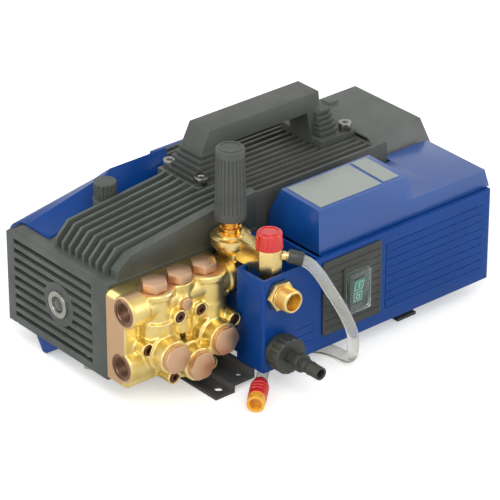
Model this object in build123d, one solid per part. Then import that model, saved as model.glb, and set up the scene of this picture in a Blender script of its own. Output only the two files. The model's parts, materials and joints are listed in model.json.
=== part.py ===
from build123d import *
import math
import os

os.makedirs("parts", exist_ok=True)

# Electric triplex pressure washer pump, carried by hand. Millimetres.
# x runs along the crank and motor shaft, from the pump end to the fan end, y = 0 is that shaft's axis,
# -y is the side of the brass head and the controls, and z = 0 is the floor. save() puts the origin
# at the centre of the four foot holes.

# Clearances
SEAT = 0.02  # radial, parts that are seated for good
RUN = 0.05  # radial, parts that turn or slide
GAP = 0.4  # between separate housings

# Feet
FOOT_SPACING_X = 228.0
FOOT_SPACING_Y = 190.0
FOOT_CENTRE_Y = -35.0
FOOT_HOLE_R = 4.5
FOOT_T = 3.0
FOOT_UPPER_Z = 10.0
FOOT_STEP_X = -80.0

# Shaft line
AXIS_Z = 68.0
SHAFT_R = 12.5  # drive end of the crankshaft
END_JOURNAL_R = 8.5
MOTOR_SHAFT_R = 10.0
END_BEARING_R, END_BEARING_W = 17.5, 10.0
DRIVE_BEARING_R, DRIVE_BEARING_W = 23.5, 12.0
MOTOR_BEARING_R, MOTOR_BEARING_W = 20.0, 12.0
SEAL_R, SEAL_W = 21.0, 8.0
COUPLING_R, COUPLING_L = 22.0, 32.0

# Crankcase and bell housing, one casting
CASE_X0 = -200.0
CASE_LENGTH = 178.0
CASE_HALF = 76.0
CASE_BACK = 69.0
CASE_Z0 = 19.0
CASE_Z1 = 122.0
CASE_WALL = 6.0
END_WALL = 16.0
PARTITION_X = -88.0
PARTITION_T = 13.0
GUIDE_Y = -34.0  # inner face of the block that guides the crossheads
SPIGOT_R = 44.0
GROOVE_PITCH = 9.8
GROOVE_H = 5.2
GROOVE_DEPTH = 7.0
GROOVE_COUNT = 9
GLASS_BOSS_R = 22.0
FIN_PITCH = 10.3
FIN_T = 3.2
FIN_START = 6.0  # from the side plate to the middle of the first fin
FIN_TOP_Z = 158.0
SIDE_PLATE_T = 10.0
REAR_COVER_T = 11.0
OIL_X, OIL_Y = -120.0, 29.0
OIL_BOSS_R = 12.0
OIL_BORE_R = 8.0
OIL_SEAT_Z = 143.0
OIL_CAP_R, OIL_CAP_H = 10.8, 17.0
DRAIN_X, DRAIN_Y, DRAIN_R = -191.0, -36.0, 5.0
GLASS_R = 13.5
GLASS_THREAD_R = 8.0
LENS_R = 8.5
COVER_SCREW_LENGTH = 14.0

# Slider crank
CYLINDER_PITCH = 29.0
MIDDLE_CYLINDER_X = -139.0
THROW = 3.5
JOURNAL_R = 15.0
JOURNAL_W = 13.0
ROD_R = 20.0
ROD_LENGTH = 46.0
SMALL_END_R = 6.0
PIN_R = 3.0
CROSSHEAD_R = 13.0
PLUNGER_R = 7.5
PLUNGER_LENGTH = 31.0
PACKING_R, PACKING_T = 12.0, 6.0
OIL_SEAL_R, OIL_SEAL_T = 11.0, 6.0

# Brass head
HEAD_X0 = -203.0
HEAD_X1 = -78.0
HEAD_SLAB_T = 24.0
HEAD_Z0 = 21.0
HEAD_Z1 = 117.0
BODY_RISE = 9.0  # how far the middle of the forging stands out from the slab
GALLERY_R = 8.5
GALLERY_WALL = 6.0
DELIVERY_Z = 104.0
SUPPLY_Z = 45.0
PORT_R = 10.5  # minor radius of the half inch ports
PORT_DEPTH = 18.0
PORT_BOSS_R = 16.0
END_BOSS_T = 8.5
VALVE_R = 10.5
OUTLET_CAP_HEX = 22.0
OUTLET_CAP_H = 9.0
INLET_CAP_HEX = 26.0
INLET_CAP_R = 14.0
INLET_CAP_Z = (58.0, 40.0, 56.0)
INLET_BOSS = 34.0  # from the slab to the face of an inlet valve boss
# x, z and how far the seat of the screw's head stands out from the slab
HEAD_SCREWS = ((-186.0, 65.0, 11.5), (-153.5, 91.0, 18.5), (-124.5, 86.0, 13.0), (-92.2, 68.0, 22.5),
               (-156.0, 25.5, 12.0), (-112.0, 24.0, 13.0))
HEAD_SCREW_BOSS_R = 7.3
HEAD_SCREW_GRIP = 12.0  # length of thread in the crankcase
# for each cylinder: shift along x, distance out from the slab, radius, and what the lower stage adds
OUTLET_BARRELS = ((2.0, 5.0, 13.5, 3.5), (0.0, 2.0, 12.5, 1.0), (3.0, 9.0, 12.5, 1.0))
BARREL_STEP_Z = 88.0
BARREL_Z0 = 66.0
RIM_Z = 111.0
RIM_W = 6.5
CAP_PLUG_H = 5.0
GAUGE_PLACE = (-143.6, 100.0)
GAUGE_R = 3.5
GAUGE_HEAD_R = 6.0
GAUGE_RISE = 19.0
GAUGE_DEPTH = 3.4

# Motor
MOTOR_X0 = -22.0
MOTOR_LENGTH = 167.0
STATOR_R = 55.0
STATOR_BORE_R = 32.0
STATOR_LENGTH = 90.0
AIR_GAP = 0.6
FRAME_R = 62.0
FRAME_HALF = 75.0
DECK_Z = 124.0
MOTOR_FIN_Z = 146.0
MOTOR_FIN_PITCH = 8.6
MOTOR_FIN_T = 2.8
RAIL_Z = 156.0
END_PLATE_T = 4.0
MOTOR_LUG_Y = 38.0
COWL_LENGTH = 69.0
COWL_T = 2.5
FAN_R = 52.0
WINDING_L = 18.0
SHIELD_T = 5.0
COWL_TOP_Z = 150.0
COWL_TOP_HALF, COWL_SHOULDER_HALF, COWL_HALF = 48.0, 63.0, 67.0

# Carry handle
HANDLE_X0, HANDLE_X1 = -56.0, 144.0
HANDLE_HALF = 30.0
HANDLE_BASE_Z = 137.0
GRIP_HALF = 15.0
GRIP_TOP_Z = 199.5
GRIP_T = 19.5
BASE_T = 16.0
BASE_LENGTH = 44.0
RIB_COUNT = 5
RIB_PITCH = 5.0
RIB_H = 3.4
HANDLE_THREAD = 10.0
M6_R = 3.0
M8_R = 4.0

# Blue housings
HOUSING_SPACE = 2.0  # between the housing and the casting or motor behind it
HOUSING_DEPTH = 81.0
HOUSING_X0, HOUSING_X1 = -84.0, 206.0
HOUSING_Z0, HOUSING_Z1 = 20.0, 117.0
HOUSING_WALL = 3.0
RECESS_Z = 84.0
BULKHEAD_X = -13.0
PAD_R = 3.5
HOUSING_STEP = 21.0  # from the head's slab to the edge of the housing's left face
LINE_COUNT = 9
LINE_PITCH = 8.6
LINE_W, LINE_DEPTH = 1.4, 0.8
GLAND_Z, GLAND_R = 45.0, 8.0
COVER_X0, COVER_STEP_X, COVER_X1 = -11.0, 118.0, 210.0
COVER_TOP_Z = 160.0
COVER_LOW_Z = 135.0
COVER_SET_BACK = 6.5  # of the cover's front at the seam
COVER_LEAN = 6.5  # further, at its top
SHROUD_SPACE = 13.0  # from the wider of the casting and the motor to the shell's back wall
SHROUD_X0 = -189.0
SHROUD_X1 = 206.0
SHROUD_TURN_X = -96.0
SHROUD_RIDGE_Y = 60.0
SHROUD_END_X = 60.0  # where the tall part beside the motor ends
PLATE_T = 0.8

# Switch
PANEL_X0, PANEL_X1 = -12.0, 61.0
PANEL_Z0, PANEL_Z1 = 34.0, 112.0
PANEL_T = 2.0
PAD_T = 1.5  # the raised field round the switch
PAD_HALF_W, PAD_HALF_H = 17.0, 27.0
SWITCH_X, SWITCH_Z = 29.0, 71.0
SWITCH_W, SWITCH_H = 22.0, 37.0
BEZEL_W, BEZEL_T = 1.6, 1.5
HOOD_T, HOOD_DEPTH = 1.0, 5.5
ROCKER_W, ROCKER_H = 13.0, 25.0
ROCKER_TILT = 7.0
ROCKER_PIN_R = 1.5

# Unloader, injector and fittings
UNLOADER_X = -71.2
VALVE_HALF = 14.0
INJECTOR_X = -64.0
INJECTOR_HEX = 21.0
COLUMN_R, FLANGE_R = 12.0, 19.0
VALVE_TOP_Z = 141.0
KNOB_R, KNOB_Z0, KNOB_Z1 = 15.0, 156.0, 228.0
KNOB_FLUTES = 24
KNOB_TAPER = 1.5
STEM_R = 6.0
RED_KNOB_R, RED_KNOB_H = 13.0, 16.0
RED_STEM_R = 4.0
SPRING_R = 6.0
BARB_TURN = -40.0
BARB_START, BARB_END = 10.5, 28.0
OUTLET_X, OUTLET_Z = -66.0, 99.0
OUTLET_R = 11.2
OUTLET_BORE_R = 8.6
OUTLET_LENGTH = 22.0
OUTLET_HEX, OUTLET_HEX_T = 26.0, 6.0
OUTLET_ROOT = 1.0
PIPE_R = 11.0
INLET_X, INLET_Z = -66.0, 40.5
INLET_NUT_R = 18.0
TAIL_R = 7.0
TAIL_BORE_R = 4.5
TAIL_LENGTH = 56.5

# Detergent hose
HOSE_R = 5.6
HOSE_BORE_R = 4.0
STRAINER_R = 9.0
HOSE_END_GAP = 0.6  # from the hose's end to the strainer's collar

# Worked out from the sizes above
CASE_X1 = CASE_X0 + CASE_LENGTH
CAVITY_X0 = CASE_X0 + END_WALL
PARTITION_X1 = PARTITION_X + PARTITION_T
CYLINDERS = tuple(MIDDLE_CYLINDER_X + i * CYLINDER_PITCH for i in (-1, 0, 1))
MOTOR_X1 = MOTOR_X0 + MOTOR_LENGTH
COWL_X1 = MOTOR_X1 + COWL_LENGTH
STATOR_X0 = MOTOR_X0 + 34.0
STATOR_X1 = STATOR_X0 + STATOR_LENGTH
ROTOR_R = STATOR_BORE_R - AIR_GAP
HEAD_FRONT_JOINT = -CASE_HALF
HEAD_SLAB_Y = HEAD_FRONT_JOINT - HEAD_SLAB_T
DELIVERY_Y = HEAD_SLAB_Y - 3.0
SUPPLY_Y = HEAD_SLAB_Y + 2.0
OUTLET_VALVE_Y = HEAD_SLAB_Y - 4.5
INLET_FACE_Y = HEAD_SLAB_Y - INLET_BOSS
GAUGE_FACE_Y = HEAD_SLAB_Y - GAUGE_RISE
HOUSING_BACK = -max(CASE_HALF, FRAME_HALF) - HOUSING_SPACE
SHROUD_Y = max(CASE_HALF, FRAME_HALF) + SHROUD_SPACE
HOUSING_FRONT = HOUSING_BACK - HOUSING_DEPTH
SWITCH_FACE = HOUSING_FRONT - PANEL_T - PAD_T
UNLOADER_Y = HEAD_SLAB_Y + 3.0
INJECTOR_Y = HOUSING_FRONT + 15.0
GLAND_Y = HOUSING_FRONT + 34.0
HANDLE_SCREW_X = (HANDLE_X0 + 10.0, HANDLE_X1 - 8.0)
HANDLE_SCREW_Y = HANDLE_HALF - 1.6 * M8_R
END_BEARING_X0 = CAVITY_X0 - 2.0
COUPLING_X0 = PARTITION_X1 + SEAL_W + 3.0
MOTOR_FOOT_X = FOOT_SPACING_X / 2
FAN_X = MOTOR_X1 + 8.0
BARB_Z = VALVE_TOP_Z - 9.0
FOOT_Y0 = FOOT_CENTRE_Y - FOOT_SPACING_Y / 2 - 12.0
FOOT_Y1 = FOOT_CENTRE_Y + FOOT_SPACING_Y / 2 + 12.0


# ---------------------------------------------------------------- shared shapes
def block(x0, x1, y0, y1, z0, z1):
    """A box between two corners."""
    return Pos((x0 + x1) / 2, (y0 + y1) / 2, (z0 + z1) / 2) * Box(x1 - x0, y1 - y0, z1 - z0)


def x_rod(y, z, radius, x0, x1, tip=None):
    """A cylinder along x, or a cone where tip gives the radius at x1."""
    shape = Cylinder(radius, x1 - x0) if tip is None else Cone(radius, tip, x1 - x0)
    return Pos((x0 + x1) / 2, y, z) * Rot(0, 90, 0) * shape


def y_rod(x, z, radius, y0, y1, tip=None):
    """A cylinder along y, or a cone where tip gives the radius at y0."""
    shape = Cylinder(radius, y1 - y0) if tip is None else Cone(radius, tip, y1 - y0)
    return Pos(x, (y0 + y1) / 2, z) * Rot(90, 0, 0) * shape


def z_rod(x, y, radius, z0, z1, tip=None):
    """A cylinder along z, or a cone where tip gives the radius at z1."""
    shape = Cylinder(radius, z1 - z0) if tip is None else Cone(radius, tip, z1 - z0)
    return Pos(x, y, (z0 + z1) / 2) * shape


def x_prism(points, x0, x1):
    """An outline of (y, z) points, drawn out along x."""
    return extrude(Plane.YZ.offset(x0) * Polygon(*points, align=None), amount=x1 - x0, dir=(1, 0, 0))


def y_prism(points, y0, y1):
    """An outline of (x, z) points, drawn out along y."""
    return extrude(Plane.XZ.offset(-y0) * Polygon(*points, align=None), amount=y1 - y0, dir=(0, 1, 0))


def z_prism(points, z0, z1):
    """An outline of (x, y) points, drawn out along z."""
    return extrude(Plane.XY.offset(z0) * Polygon(*points, align=None), amount=z1 - z0, dir=(0, 0, 1))


def hexagon(flats, length):
    """A hexagonal bar along z, centred, by its width across flats."""
    return extrude(RegularPolygon(flats / 2, 6, major_radius=False), amount=length / 2, both=True)


def z_hex(x, y, flats, z0, z1):
    return Pos(x, y, (z0 + z1) / 2) * hexagon(flats, z1 - z0)


def y_hex(x, z, flats, y0, y1):
    return Pos(x, (y0 + y1) / 2, z) * Rot(90, 0, 0) * hexagon(flats, y1 - y0)


def x_hex(y, z, flats, x0, x1):
    return Pos((x0 + x1) / 2, y, z) * Rot(0, 90, 0) * hexagon(flats, x1 - x0)


def cap_screw(radius, length, socket=True):
    """A socket head screw along -z with the underside of its head at z = 0."""
    head_h = 2 * radius
    screw = z_rod(0, 0, 1.6 * radius, 0, head_h) + z_rod(0, 0, radius - RUN, -length, 0)
    if socket:
        screw -= z_hex(0, 0, 1.5 * radius, 0.5 * head_h, head_h + 1)
    return screw


def save(name, *pieces):
    """Write one node, its pieces moved so that the origin is the centre of the foot holes."""
    solids = [Pos(0, -FOOT_CENTRE_Y, 0) * piece for piece in pieces]
    export_step(solids[0] if len(solids) == 1 else Compound(children=solids), f"parts/{name}.step")


# ---------------------------------------------------------------- crankcase
def groove_heights():
    """The middle heights of the cooling grooves in the pump end."""
    middle = (CASE_Z0 + CASE_Z1) / 2 - 2
    return [middle + (i - (GROOVE_COUNT - 1) / 2) * GROOVE_PITCH for i in range(GROOVE_COUNT)]


def end_grooves():
    """Cuts in the end face, open towards the rear cover."""
    half = GROOVE_H / 2
    return [block(CASE_X0 - 1, CASE_X0 + GROOVE_DEPTH, -CASE_HALF + 25, CASE_BACK + 1, z - half, z + half)
            for z in groove_heights()]


def fin_outline(start_x, end_x, shoulder):
    """Outline (x, z) of a top fin: a short upright, a slope, then a long gentle rise."""
    base = CASE_Z1 - 1
    slope_top = CASE_Z1 + 0.64 * (FIN_TOP_Z - CASE_Z1) - shoulder
    return [(start_x, base), (start_x, CASE_Z1 + 8), (start_x + 15, slope_top),
            (PARTITION_X + 18, FIN_TOP_Z - 2), (end_x, FIN_TOP_Z), (end_x, base)]


def fin_places():
    """The middle y of each top fin, from the side plate as far as the oil boss leaves room."""
    first = -CASE_HALF + SIDE_PLATE_T + FIN_START
    room = OIL_Y - OIL_BOSS_R - FIN_T - first
    return [first + i * FIN_PITCH for i in range(int(room / FIN_PITCH) + 1)]


def top_fins():
    fins = []
    for y in fin_places():
        end_x = CASE_X1 if y + FIN_T < -HANDLE_HALF - 2 else HANDLE_X0 - 4
        fins.append(y_prism(fin_outline(CASE_X0 + 8, end_x, 0), y - FIN_T / 2, y + FIN_T / 2))
    fins.append(y_prism(fin_outline(CASE_X0 + 12, CASE_X1, 3), -CASE_HALF, -CASE_HALF + SIDE_PLATE_T))
    return fins


def crankcase():
    case = block(CASE_X0, CASE_X1, -CASE_HALF, CASE_BACK, CASE_Z0, CASE_Z1)
    case = fillet(case.edges().filter_by(Axis.X), 4)
    case += top_fins()
    case += x_rod(0, AXIS_Z, FRAME_R + 2, CASE_X1 - 12, CASE_X1)
    case += z_rod(OIL_X, OIL_Y, OIL_BOSS_R, CASE_Z1 - 1, OIL_SEAT_Z)
    case += block(HANDLE_X0, CASE_X1, -HANDLE_HALF, HANDLE_HALF, CASE_Z1 - 1, HANDLE_BASE_Z)
    for x, y in handle_screw_places()[:2]:
        case -= z_rod(x, y, M8_R, HANDLE_BASE_Z - HANDLE_THREAD - 2, HANDLE_BASE_Z + 1)
    case -= block(CAVITY_X0, PARTITION_X, GUIDE_Y, CASE_BACK + 1, CASE_Z0 + CASE_WALL, CASE_Z1 - CASE_WALL)
    case -= end_grooves()
    case += x_rod(0, AXIS_Z, GLASS_BOSS_R, CASE_X0, CASE_X0 + GROOVE_DEPTH)
    case += x_rod(0, AXIS_Z, END_BEARING_R + 6, CAVITY_X0 - 1, CAVITY_X0 + 8)
    case -= x_rod(0, AXIS_Z, END_BEARING_R + SEAT, END_BEARING_X0, CAVITY_X0 + 9)
    case -= x_rod(0, AXIS_Z, GLASS_THREAD_R, CASE_X0 - 1, END_BEARING_X0 + 1)
    case -= x_rod(0, AXIS_Z, GLASS_R + SEAT, CASE_X0 - 1, CASE_X0 + 4)
    case -= x_rod(0, AXIS_Z, SPIGOT_R, PARTITION_X1, CASE_X1 + 1)
    case += x_rod(0, AXIS_Z, SEAL_R + 6, PARTITION_X1 - 1, PARTITION_X1 + SEAL_W)
    case -= x_rod(0, AXIS_Z, DRIVE_BEARING_R + SEAT, PARTITION_X - 1, PARTITION_X + DRIVE_BEARING_W)
    case -= x_rod(0, AXIS_Z, SEAL_R + SEAT, PARTITION_X1 + 1, PARTITION_X1 + SEAL_W + 1)
    case -= x_rod(0, AXIS_Z, SHAFT_R + 2, PARTITION_X, PARTITION_X1 + 2)
    for x in CYLINDERS:
        case -= y_rod(x, AXIS_Z, CROSSHEAD_R + RUN, -CASE_HALF + OIL_SEAL_T, GUIDE_Y + 1)
        case -= y_rod(x, AXIS_Z, OIL_SEAL_R + SEAT, -CASE_HALF - 1, -CASE_HALF + OIL_SEAL_T + 1)
    for x, z, _ in HEAD_SCREWS:
        case -= y_rod(x, z, M6_R, -CASE_HALF - 1, -CASE_HALF + HEAD_SCREW_GRIP + 2)
    for x, z in cover_screw_places():
        case -= y_rod(x, z, M6_R, CASE_BACK - COVER_SCREW_LENGTH, CASE_BACK + 1)
    case -= z_rod(OIL_X, OIL_Y, OIL_BORE_R, CASE_Z1 - CASE_WALL - 1, OIL_SEAT_Z + 1)
    case -= z_rod(DRAIN_X, DRAIN_Y, DRAIN_R, CASE_Z0 - 1, CASE_Z0 + 12)
    for x, y in pump_foot_places():
        case += block(x - 8, x + 8, y - 8, y + 8, FOOT_UPPER_Z, CASE_Z0 + 1)
        case -= z_rod(x, y, M6_R, FOOT_UPPER_Z - 1, FOOT_UPPER_Z + 14)
    return case


def pump_foot_places():
    """Where the crankcase stands on the front bracket."""
    return [(FOOT_STEP_X - 12, y) for y in (-58.0, 52.0)]


def cover_screw_places():
    x0, x1 = CASE_X0 + 9, PARTITION_X + 5
    z0, z1 = CASE_Z0 + 8, CASE_Z1 - 16
    return [(x0, z0), (x0, z1), (x1, z0), (x1, z1)]


def crankcase_rear_cover():
    """Finned plate that closes the crankcase at the rear, sloped along its top edge."""
    outer = CASE_BACK + REAR_COVER_T
    outline = [(CASE_BACK, CASE_Z0), (outer, CASE_Z0), (outer, CASE_Z1 - 8), (CASE_BACK, CASE_Z1)]
    cover = x_prism(outline, CASE_X0, PARTITION_X1)
    for z in groove_heights():
        cover -= block(CASE_X0 + 18, PARTITION_X1 - 8, outer - REAR_COVER_T / 2, outer + 1,
                       z - GROOVE_H / 2, z + GROOVE_H / 2)
    for x, z in cover_screw_places():
        cover -= y_rod(x, z, M6_R + 0.3, CASE_BACK - 1, outer + 1)
        cover -= y_rod(x, z, 1.6 * M6_R + 0.4, cover_screw_seat(), outer + 1)
    return cover


def cover_screw_seat():
    """Where the heads of the rear cover's screws bear."""
    return CASE_BACK + REAR_COVER_T - 2 * M6_R - 0.5


def rear_cover_screws():
    screw = cap_screw(M6_R, COVER_SCREW_LENGTH)
    return [Pos(x, cover_screw_seat(), z) * Rot(-90, 0, 0) * screw for x, z in cover_screw_places()]


def sight_glass_ring():
    ring = x_rod(0, AXIS_Z, GLASS_R, CASE_X0 - 2, CASE_X0 + 4)
    ring += x_rod(0, AXIS_Z, GLASS_THREAD_R - SEAT, CASE_X0 + 3, END_BEARING_X0 - 1)
    ring -= x_rod(0, AXIS_Z, LENS_R, CASE_X0 - 3, CASE_X0 + 1)
    return ring - x_rod(0, AXIS_Z, GLASS_THREAD_R - 3, CASE_X0, END_BEARING_X0)


def sight_glass_lens():
    return x_rod(0, AXIS_Z, LENS_R - SEAT, CASE_X0 - 1.2, CASE_X0 + 1)


def oil_filler_cap():
    """Ribbed cap with its threaded neck and dipstick."""
    cap = z_rod(OIL_X, OIL_Y, OIL_CAP_R, OIL_SEAT_Z, OIL_SEAT_Z + OIL_CAP_H)
    for i in range(16):
        rib = Pos(OIL_CAP_R, 0, OIL_SEAT_Z + OIL_CAP_H / 2) * Cylinder(0.8, OIL_CAP_H - 3)
        cap -= Pos(OIL_X, OIL_Y, 0) * Rot(0, 0, i * 22.5) * rib
    cap += z_rod(OIL_X, OIL_Y, OIL_BORE_R - RUN, OIL_SEAT_Z - 10, OIL_SEAT_Z)
    cap += z_rod(OIL_X, OIL_Y, 1.8, AXIS_Z + 8, OIL_SEAT_Z - 9)
    return cap


def oil_drain_plug():
    plug = z_hex(DRAIN_X, DRAIN_Y, 13, CASE_Z0 - 5, CASE_Z0)
    return plug + z_rod(DRAIN_X, DRAIN_Y, DRAIN_R - SEAT, CASE_Z0, CASE_Z0 + 8)


# ---------------------------------------------------------------- crank train
def crankshaft():
    """Three round eccentrics at 120 degrees on one shaft, turned down at both ends for the bearings."""
    shaft = x_rod(0, AXIS_Z, END_JOURNAL_R - RUN, END_BEARING_X0 + 1, CYLINDERS[0] - JOURNAL_W / 2)
    shaft += x_rod(0, AXIS_Z, 10, CYLINDERS[0] - JOURNAL_W / 2, PARTITION_X - 2)
    shaft += x_rod(0, AXIS_Z, SHAFT_R - RUN, PARTITION_X - 2, COUPLING_X0 + 12)
    for i, x in enumerate(CYLINDERS):
        angle = math.radians(120 * i)
        y, z = THROW * math.cos(angle), AXIS_Z + THROW * math.sin(angle)
        shaft += x_rod(y, z, JOURNAL_R, x - JOURNAL_W / 2, x + JOURNAL_W / 2)
    return shaft


def crank_bearings():
    end = x_rod(0, AXIS_Z, END_BEARING_R, END_BEARING_X0, END_BEARING_X0 + END_BEARING_W)
    end -= x_rod(0, AXIS_Z, END_JOURNAL_R, END_BEARING_X0 - 1, END_BEARING_X0 + END_BEARING_W + 1)
    drive = x_rod(0, AXIS_Z, DRIVE_BEARING_R, PARTITION_X, PARTITION_X + DRIVE_BEARING_W)
    drive -= x_rod(0, AXIS_Z, SHAFT_R, PARTITION_X - 1, PARTITION_X + DRIVE_BEARING_W + 1)
    return end, drive


def shaft_seal():
    seal = x_rod(0, AXIS_Z, SEAL_R, PARTITION_X1 + 1, PARTITION_X1 + SEAL_W)
    return seal - x_rod(0, AXIS_Z, SHAFT_R, PARTITION_X1, PARTITION_X1 + SEAL_W + 1)


def connecting_rod(index):
    """Ring on its eccentric with a shank to the small end, and the wrist pin, as they lie at rest."""
    angle = math.radians(120 * index)
    x = CYLINDERS[index]
    y, z = THROW * math.cos(angle), AXIS_Z + THROW * math.sin(angle)
    half = JOURNAL_W / 2 - 0.5
    rod = x_rod(y, z, ROD_R, x - half, x + half)
    rod += block(x - 4, x + 4, y - ROD_LENGTH, y, z - 4, z + 4)
    rod += x_rod(y - ROD_LENGTH, z, SMALL_END_R, x - 5, x + 5)
    rod -= x_rod(y, z, JOURNAL_R + RUN, x - half - 1, x + half + 1)
    rod -= x_rod(y - ROD_LENGTH, z, PIN_R + SEAT, x - 6, x + 6)
    return rod, x_rod(y - ROD_LENGTH, z, PIN_R, x - 6, x + 6)


def plunger(index):
    """Crosshead and ceramic plunger in one, drawn where its eccentric holds it at rest."""
    x = CYLINDERS[index]
    back = -ROD_LENGTH + 8
    front = -CASE_HALF + OIL_SEAL_T + THROW + 0.5
    head = y_rod(x, AXIS_Z, CROSSHEAD_R, front, back)
    room = SMALL_END_R + 2 * THROW
    head -= block(x - 6.6, x + 6.6, -ROD_LENGTH - room - 0.4, back + 1,
                  AXIS_Z - SMALL_END_R - THROW - 0.6, AXIS_Z + SMALL_END_R + THROW + 0.6)
    head += y_rod(x, AXIS_Z, PLUNGER_R, front - PLUNGER_LENGTH, front)
    return Pos(0, THROW * math.cos(math.radians(120 * index)), 0) * head


def crosshead_seals():
    y0, y1 = -CASE_HALF + 0.5, -CASE_HALF + OIL_SEAL_T
    return [y_rod(x, AXIS_Z, OIL_SEAL_R, y0, y1) - y_rod(x, AXIS_Z, PLUNGER_R + RUN, y0 - 1, y1 + 1)
            for x in CYLINDERS]


def packing_rings():
    y1 = HEAD_FRONT_JOINT - PACKING_T
    return [y_rod(x, AXIS_Z, PACKING_R, y1 - PACKING_T, y1)
            - y_rod(x, AXIS_Z, PLUNGER_R + RUN, y1 - PACKING_T - 1, y1 + 1) for x in CYLINDERS]


def packing_retainers():
    y1 = HEAD_FRONT_JOINT
    return [y_rod(x, AXIS_Z, PACKING_R, y1 - PACKING_T, y1)
            - y_rod(x, AXIS_Z, PLUNGER_R + 0.4, y1 - PACKING_T - 1, y1 + 1) for x in CYLINDERS]


# ---------------------------------------------------------------- brass head
def barrel_places():
    """For each cylinder: x and y of its outlet barrel, the radius, and the radius of its lower stage."""
    return [(x + shift, HEAD_SLAB_Y - out, radius, radius + more)
            for x, (shift, out, radius, more) in zip(CYLINDERS, OUTLET_BARRELS)]


def head_body():
    """The forging without its holes: slab, galleries, barrels, inlet valve bosses and screw bosses."""
    body_y = HEAD_SLAB_Y - BODY_RISE
    x0, x1 = HEAD_X0 + PORT_DEPTH + 2, HEAD_X1 - 6
    head = block(HEAD_X0, HEAD_X1, HEAD_SLAB_Y, HEAD_FRONT_JOINT, HEAD_Z0, HEAD_Z1)
    head = chamfer(head.edges().filter_by(Axis.Y), 5)
    head += block(x0, x1, body_y - 2, HEAD_SLAB_Y, BARREL_STEP_Z - 4, HEAD_Z1 - 2)
    head += x_rod(DELIVERY_Y, DELIVERY_Z, PORT_BOSS_R, HEAD_X0, x0)
    head += x_rod(DELIVERY_Y, DELIVERY_Z - 1, PORT_BOSS_R - 2, HEAD_X0, HEAD_X1 - END_BOSS_T)
    head += x_rod(DELIVERY_Y, DELIVERY_Z - 3, PORT_BOSS_R - 0.5, HEAD_X1 - END_BOSS_T, HEAD_X1)
    head += x_rod(SUPPLY_Y, SUPPLY_Z, PORT_BOSS_R, HEAD_X0, x0 + 2)
    head += x_rod(SUPPLY_Y, SUPPLY_Z, GALLERY_R + GALLERY_WALL, HEAD_X0, HEAD_X1)
    head += block(HEAD_X0, HEAD_X0 + 14, HEAD_SLAB_Y - 4, HEAD_SLAB_Y, SUPPLY_Z, DELIVERY_Z)
    for left, right, top in ((CYLINDERS[0] - 15, CYLINDERS[0] + 9, BARREL_STEP_Z),
                             (CYLINDERS[1] - 9, CYLINDERS[1] + 17, BARREL_STEP_Z),
                             (CYLINDERS[2] - 13, CYLINDERS[2] + 12, BARREL_STEP_Z - 8)):
        head += block(left, right, body_y, HEAD_SLAB_Y, min(INLET_CAP_Z), top)
    for (x, y, upper, lower), bore_x, cap_z in zip(barrel_places(), CYLINDERS, INLET_CAP_Z):
        head += z_rod(x, y, upper, BARREL_STEP_Z, RIM_Z)
        head += z_rod(x, y, lower, BARREL_Z0, BARREL_STEP_Z)
        head += z_rod(bore_x, OUTLET_VALVE_Y, VALVE_R + 2, BARREL_STEP_Z - 6, HEAD_Z1 + 1)
        head += z_rod(x, y + 4, upper + RIM_W, RIM_Z, HEAD_Z1)
        head += z_rod(x, y + 3, upper + RIM_W - 3, HEAD_Z1, HEAD_Z1 + 1)
        head += y_rod(bore_x, cap_z, INLET_CAP_R + 2.5, INLET_FACE_Y, HEAD_SLAB_Y)
        head += y_rod(bore_x, cap_z, INLET_CAP_R + 5, INLET_FACE_Y + 14, HEAD_SLAB_Y)
    for x, z, rise in HEAD_SCREWS:
        head += y_rod(x, z, HEAD_SCREW_BOSS_R, HEAD_SLAB_Y - rise - 2 * M6_R, HEAD_SLAB_Y)
    return head + y_rod(*GAUGE_PLACE, GAUGE_HEAD_R + 1, GAUGE_FACE_Y, HEAD_SLAB_Y)


def pump_head():
    """Forged head with its ports, galleries, valve bores, plunger bores and screw holes."""
    head = head_body()
    packing_depth = 2 * PACKING_T
    for x, z, rise in HEAD_SCREWS:
        seat = HEAD_SLAB_Y - rise
        head -= y_rod(x, z, M6_R + 0.3, seat - 1, HEAD_FRONT_JOINT + 1)
        head -= y_rod(x, z, 1.6 * M6_R + 0.4, seat - 2 * M6_R - 1, seat)
    head -= y_rod(*GAUGE_PLACE, GAUGE_R, GAUGE_FACE_Y - 1, GAUGE_FACE_Y + GAUGE_DEPTH)
    for x, cap_z in zip(CYLINDERS, INLET_CAP_Z):
        head -= y_rod(x, AXIS_Z, PACKING_R + SEAT, HEAD_FRONT_JOINT - packing_depth, HEAD_FRONT_JOINT + 1)
        head -= y_rod(x, AXIS_Z, PLUNGER_R + 2, HEAD_FRONT_JOINT - packing_depth - 20, HEAD_FRONT_JOINT)
        head -= z_rod(x, OUTLET_VALVE_Y, VALVE_R - 3, AXIS_Z, HEAD_Z1)
        head -= z_rod(x, OUTLET_VALVE_Y, VALVE_R, outlet_valve_floor(), HEAD_Z1 + 2)
        head -= y_rod(x, cap_z, VALVE_R, INLET_FACE_Y - 1, HEAD_SLAB_Y - 2)
        head -= z_rod(x, HEAD_SLAB_Y - 4, PLUNGER_R - 2, cap_z, AXIS_Z)
    head -= x_rod(DELIVERY_Y, DELIVERY_Z, GALLERY_R, HEAD_X0 - 1, HEAD_X1 + 1)
    head -= x_rod(SUPPLY_Y, SUPPLY_Z, GALLERY_R, HEAD_X0 - 1, HEAD_X1 + 1)
    head -= x_rod(DELIVERY_Y, DELIVERY_Z, PORT_R, HEAD_X0 - 1, HEAD_X0 + PORT_DEPTH)
    return head - x_rod(SUPPLY_Y, SUPPLY_Z, PORT_R, HEAD_X0 - 1, HEAD_X0 + PORT_DEPTH)


def outlet_valve_floor():
    """Height of the step that the outlet valves stand on, under the delivery gallery."""
    return DELIVERY_Z - GALLERY_R - 10


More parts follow.
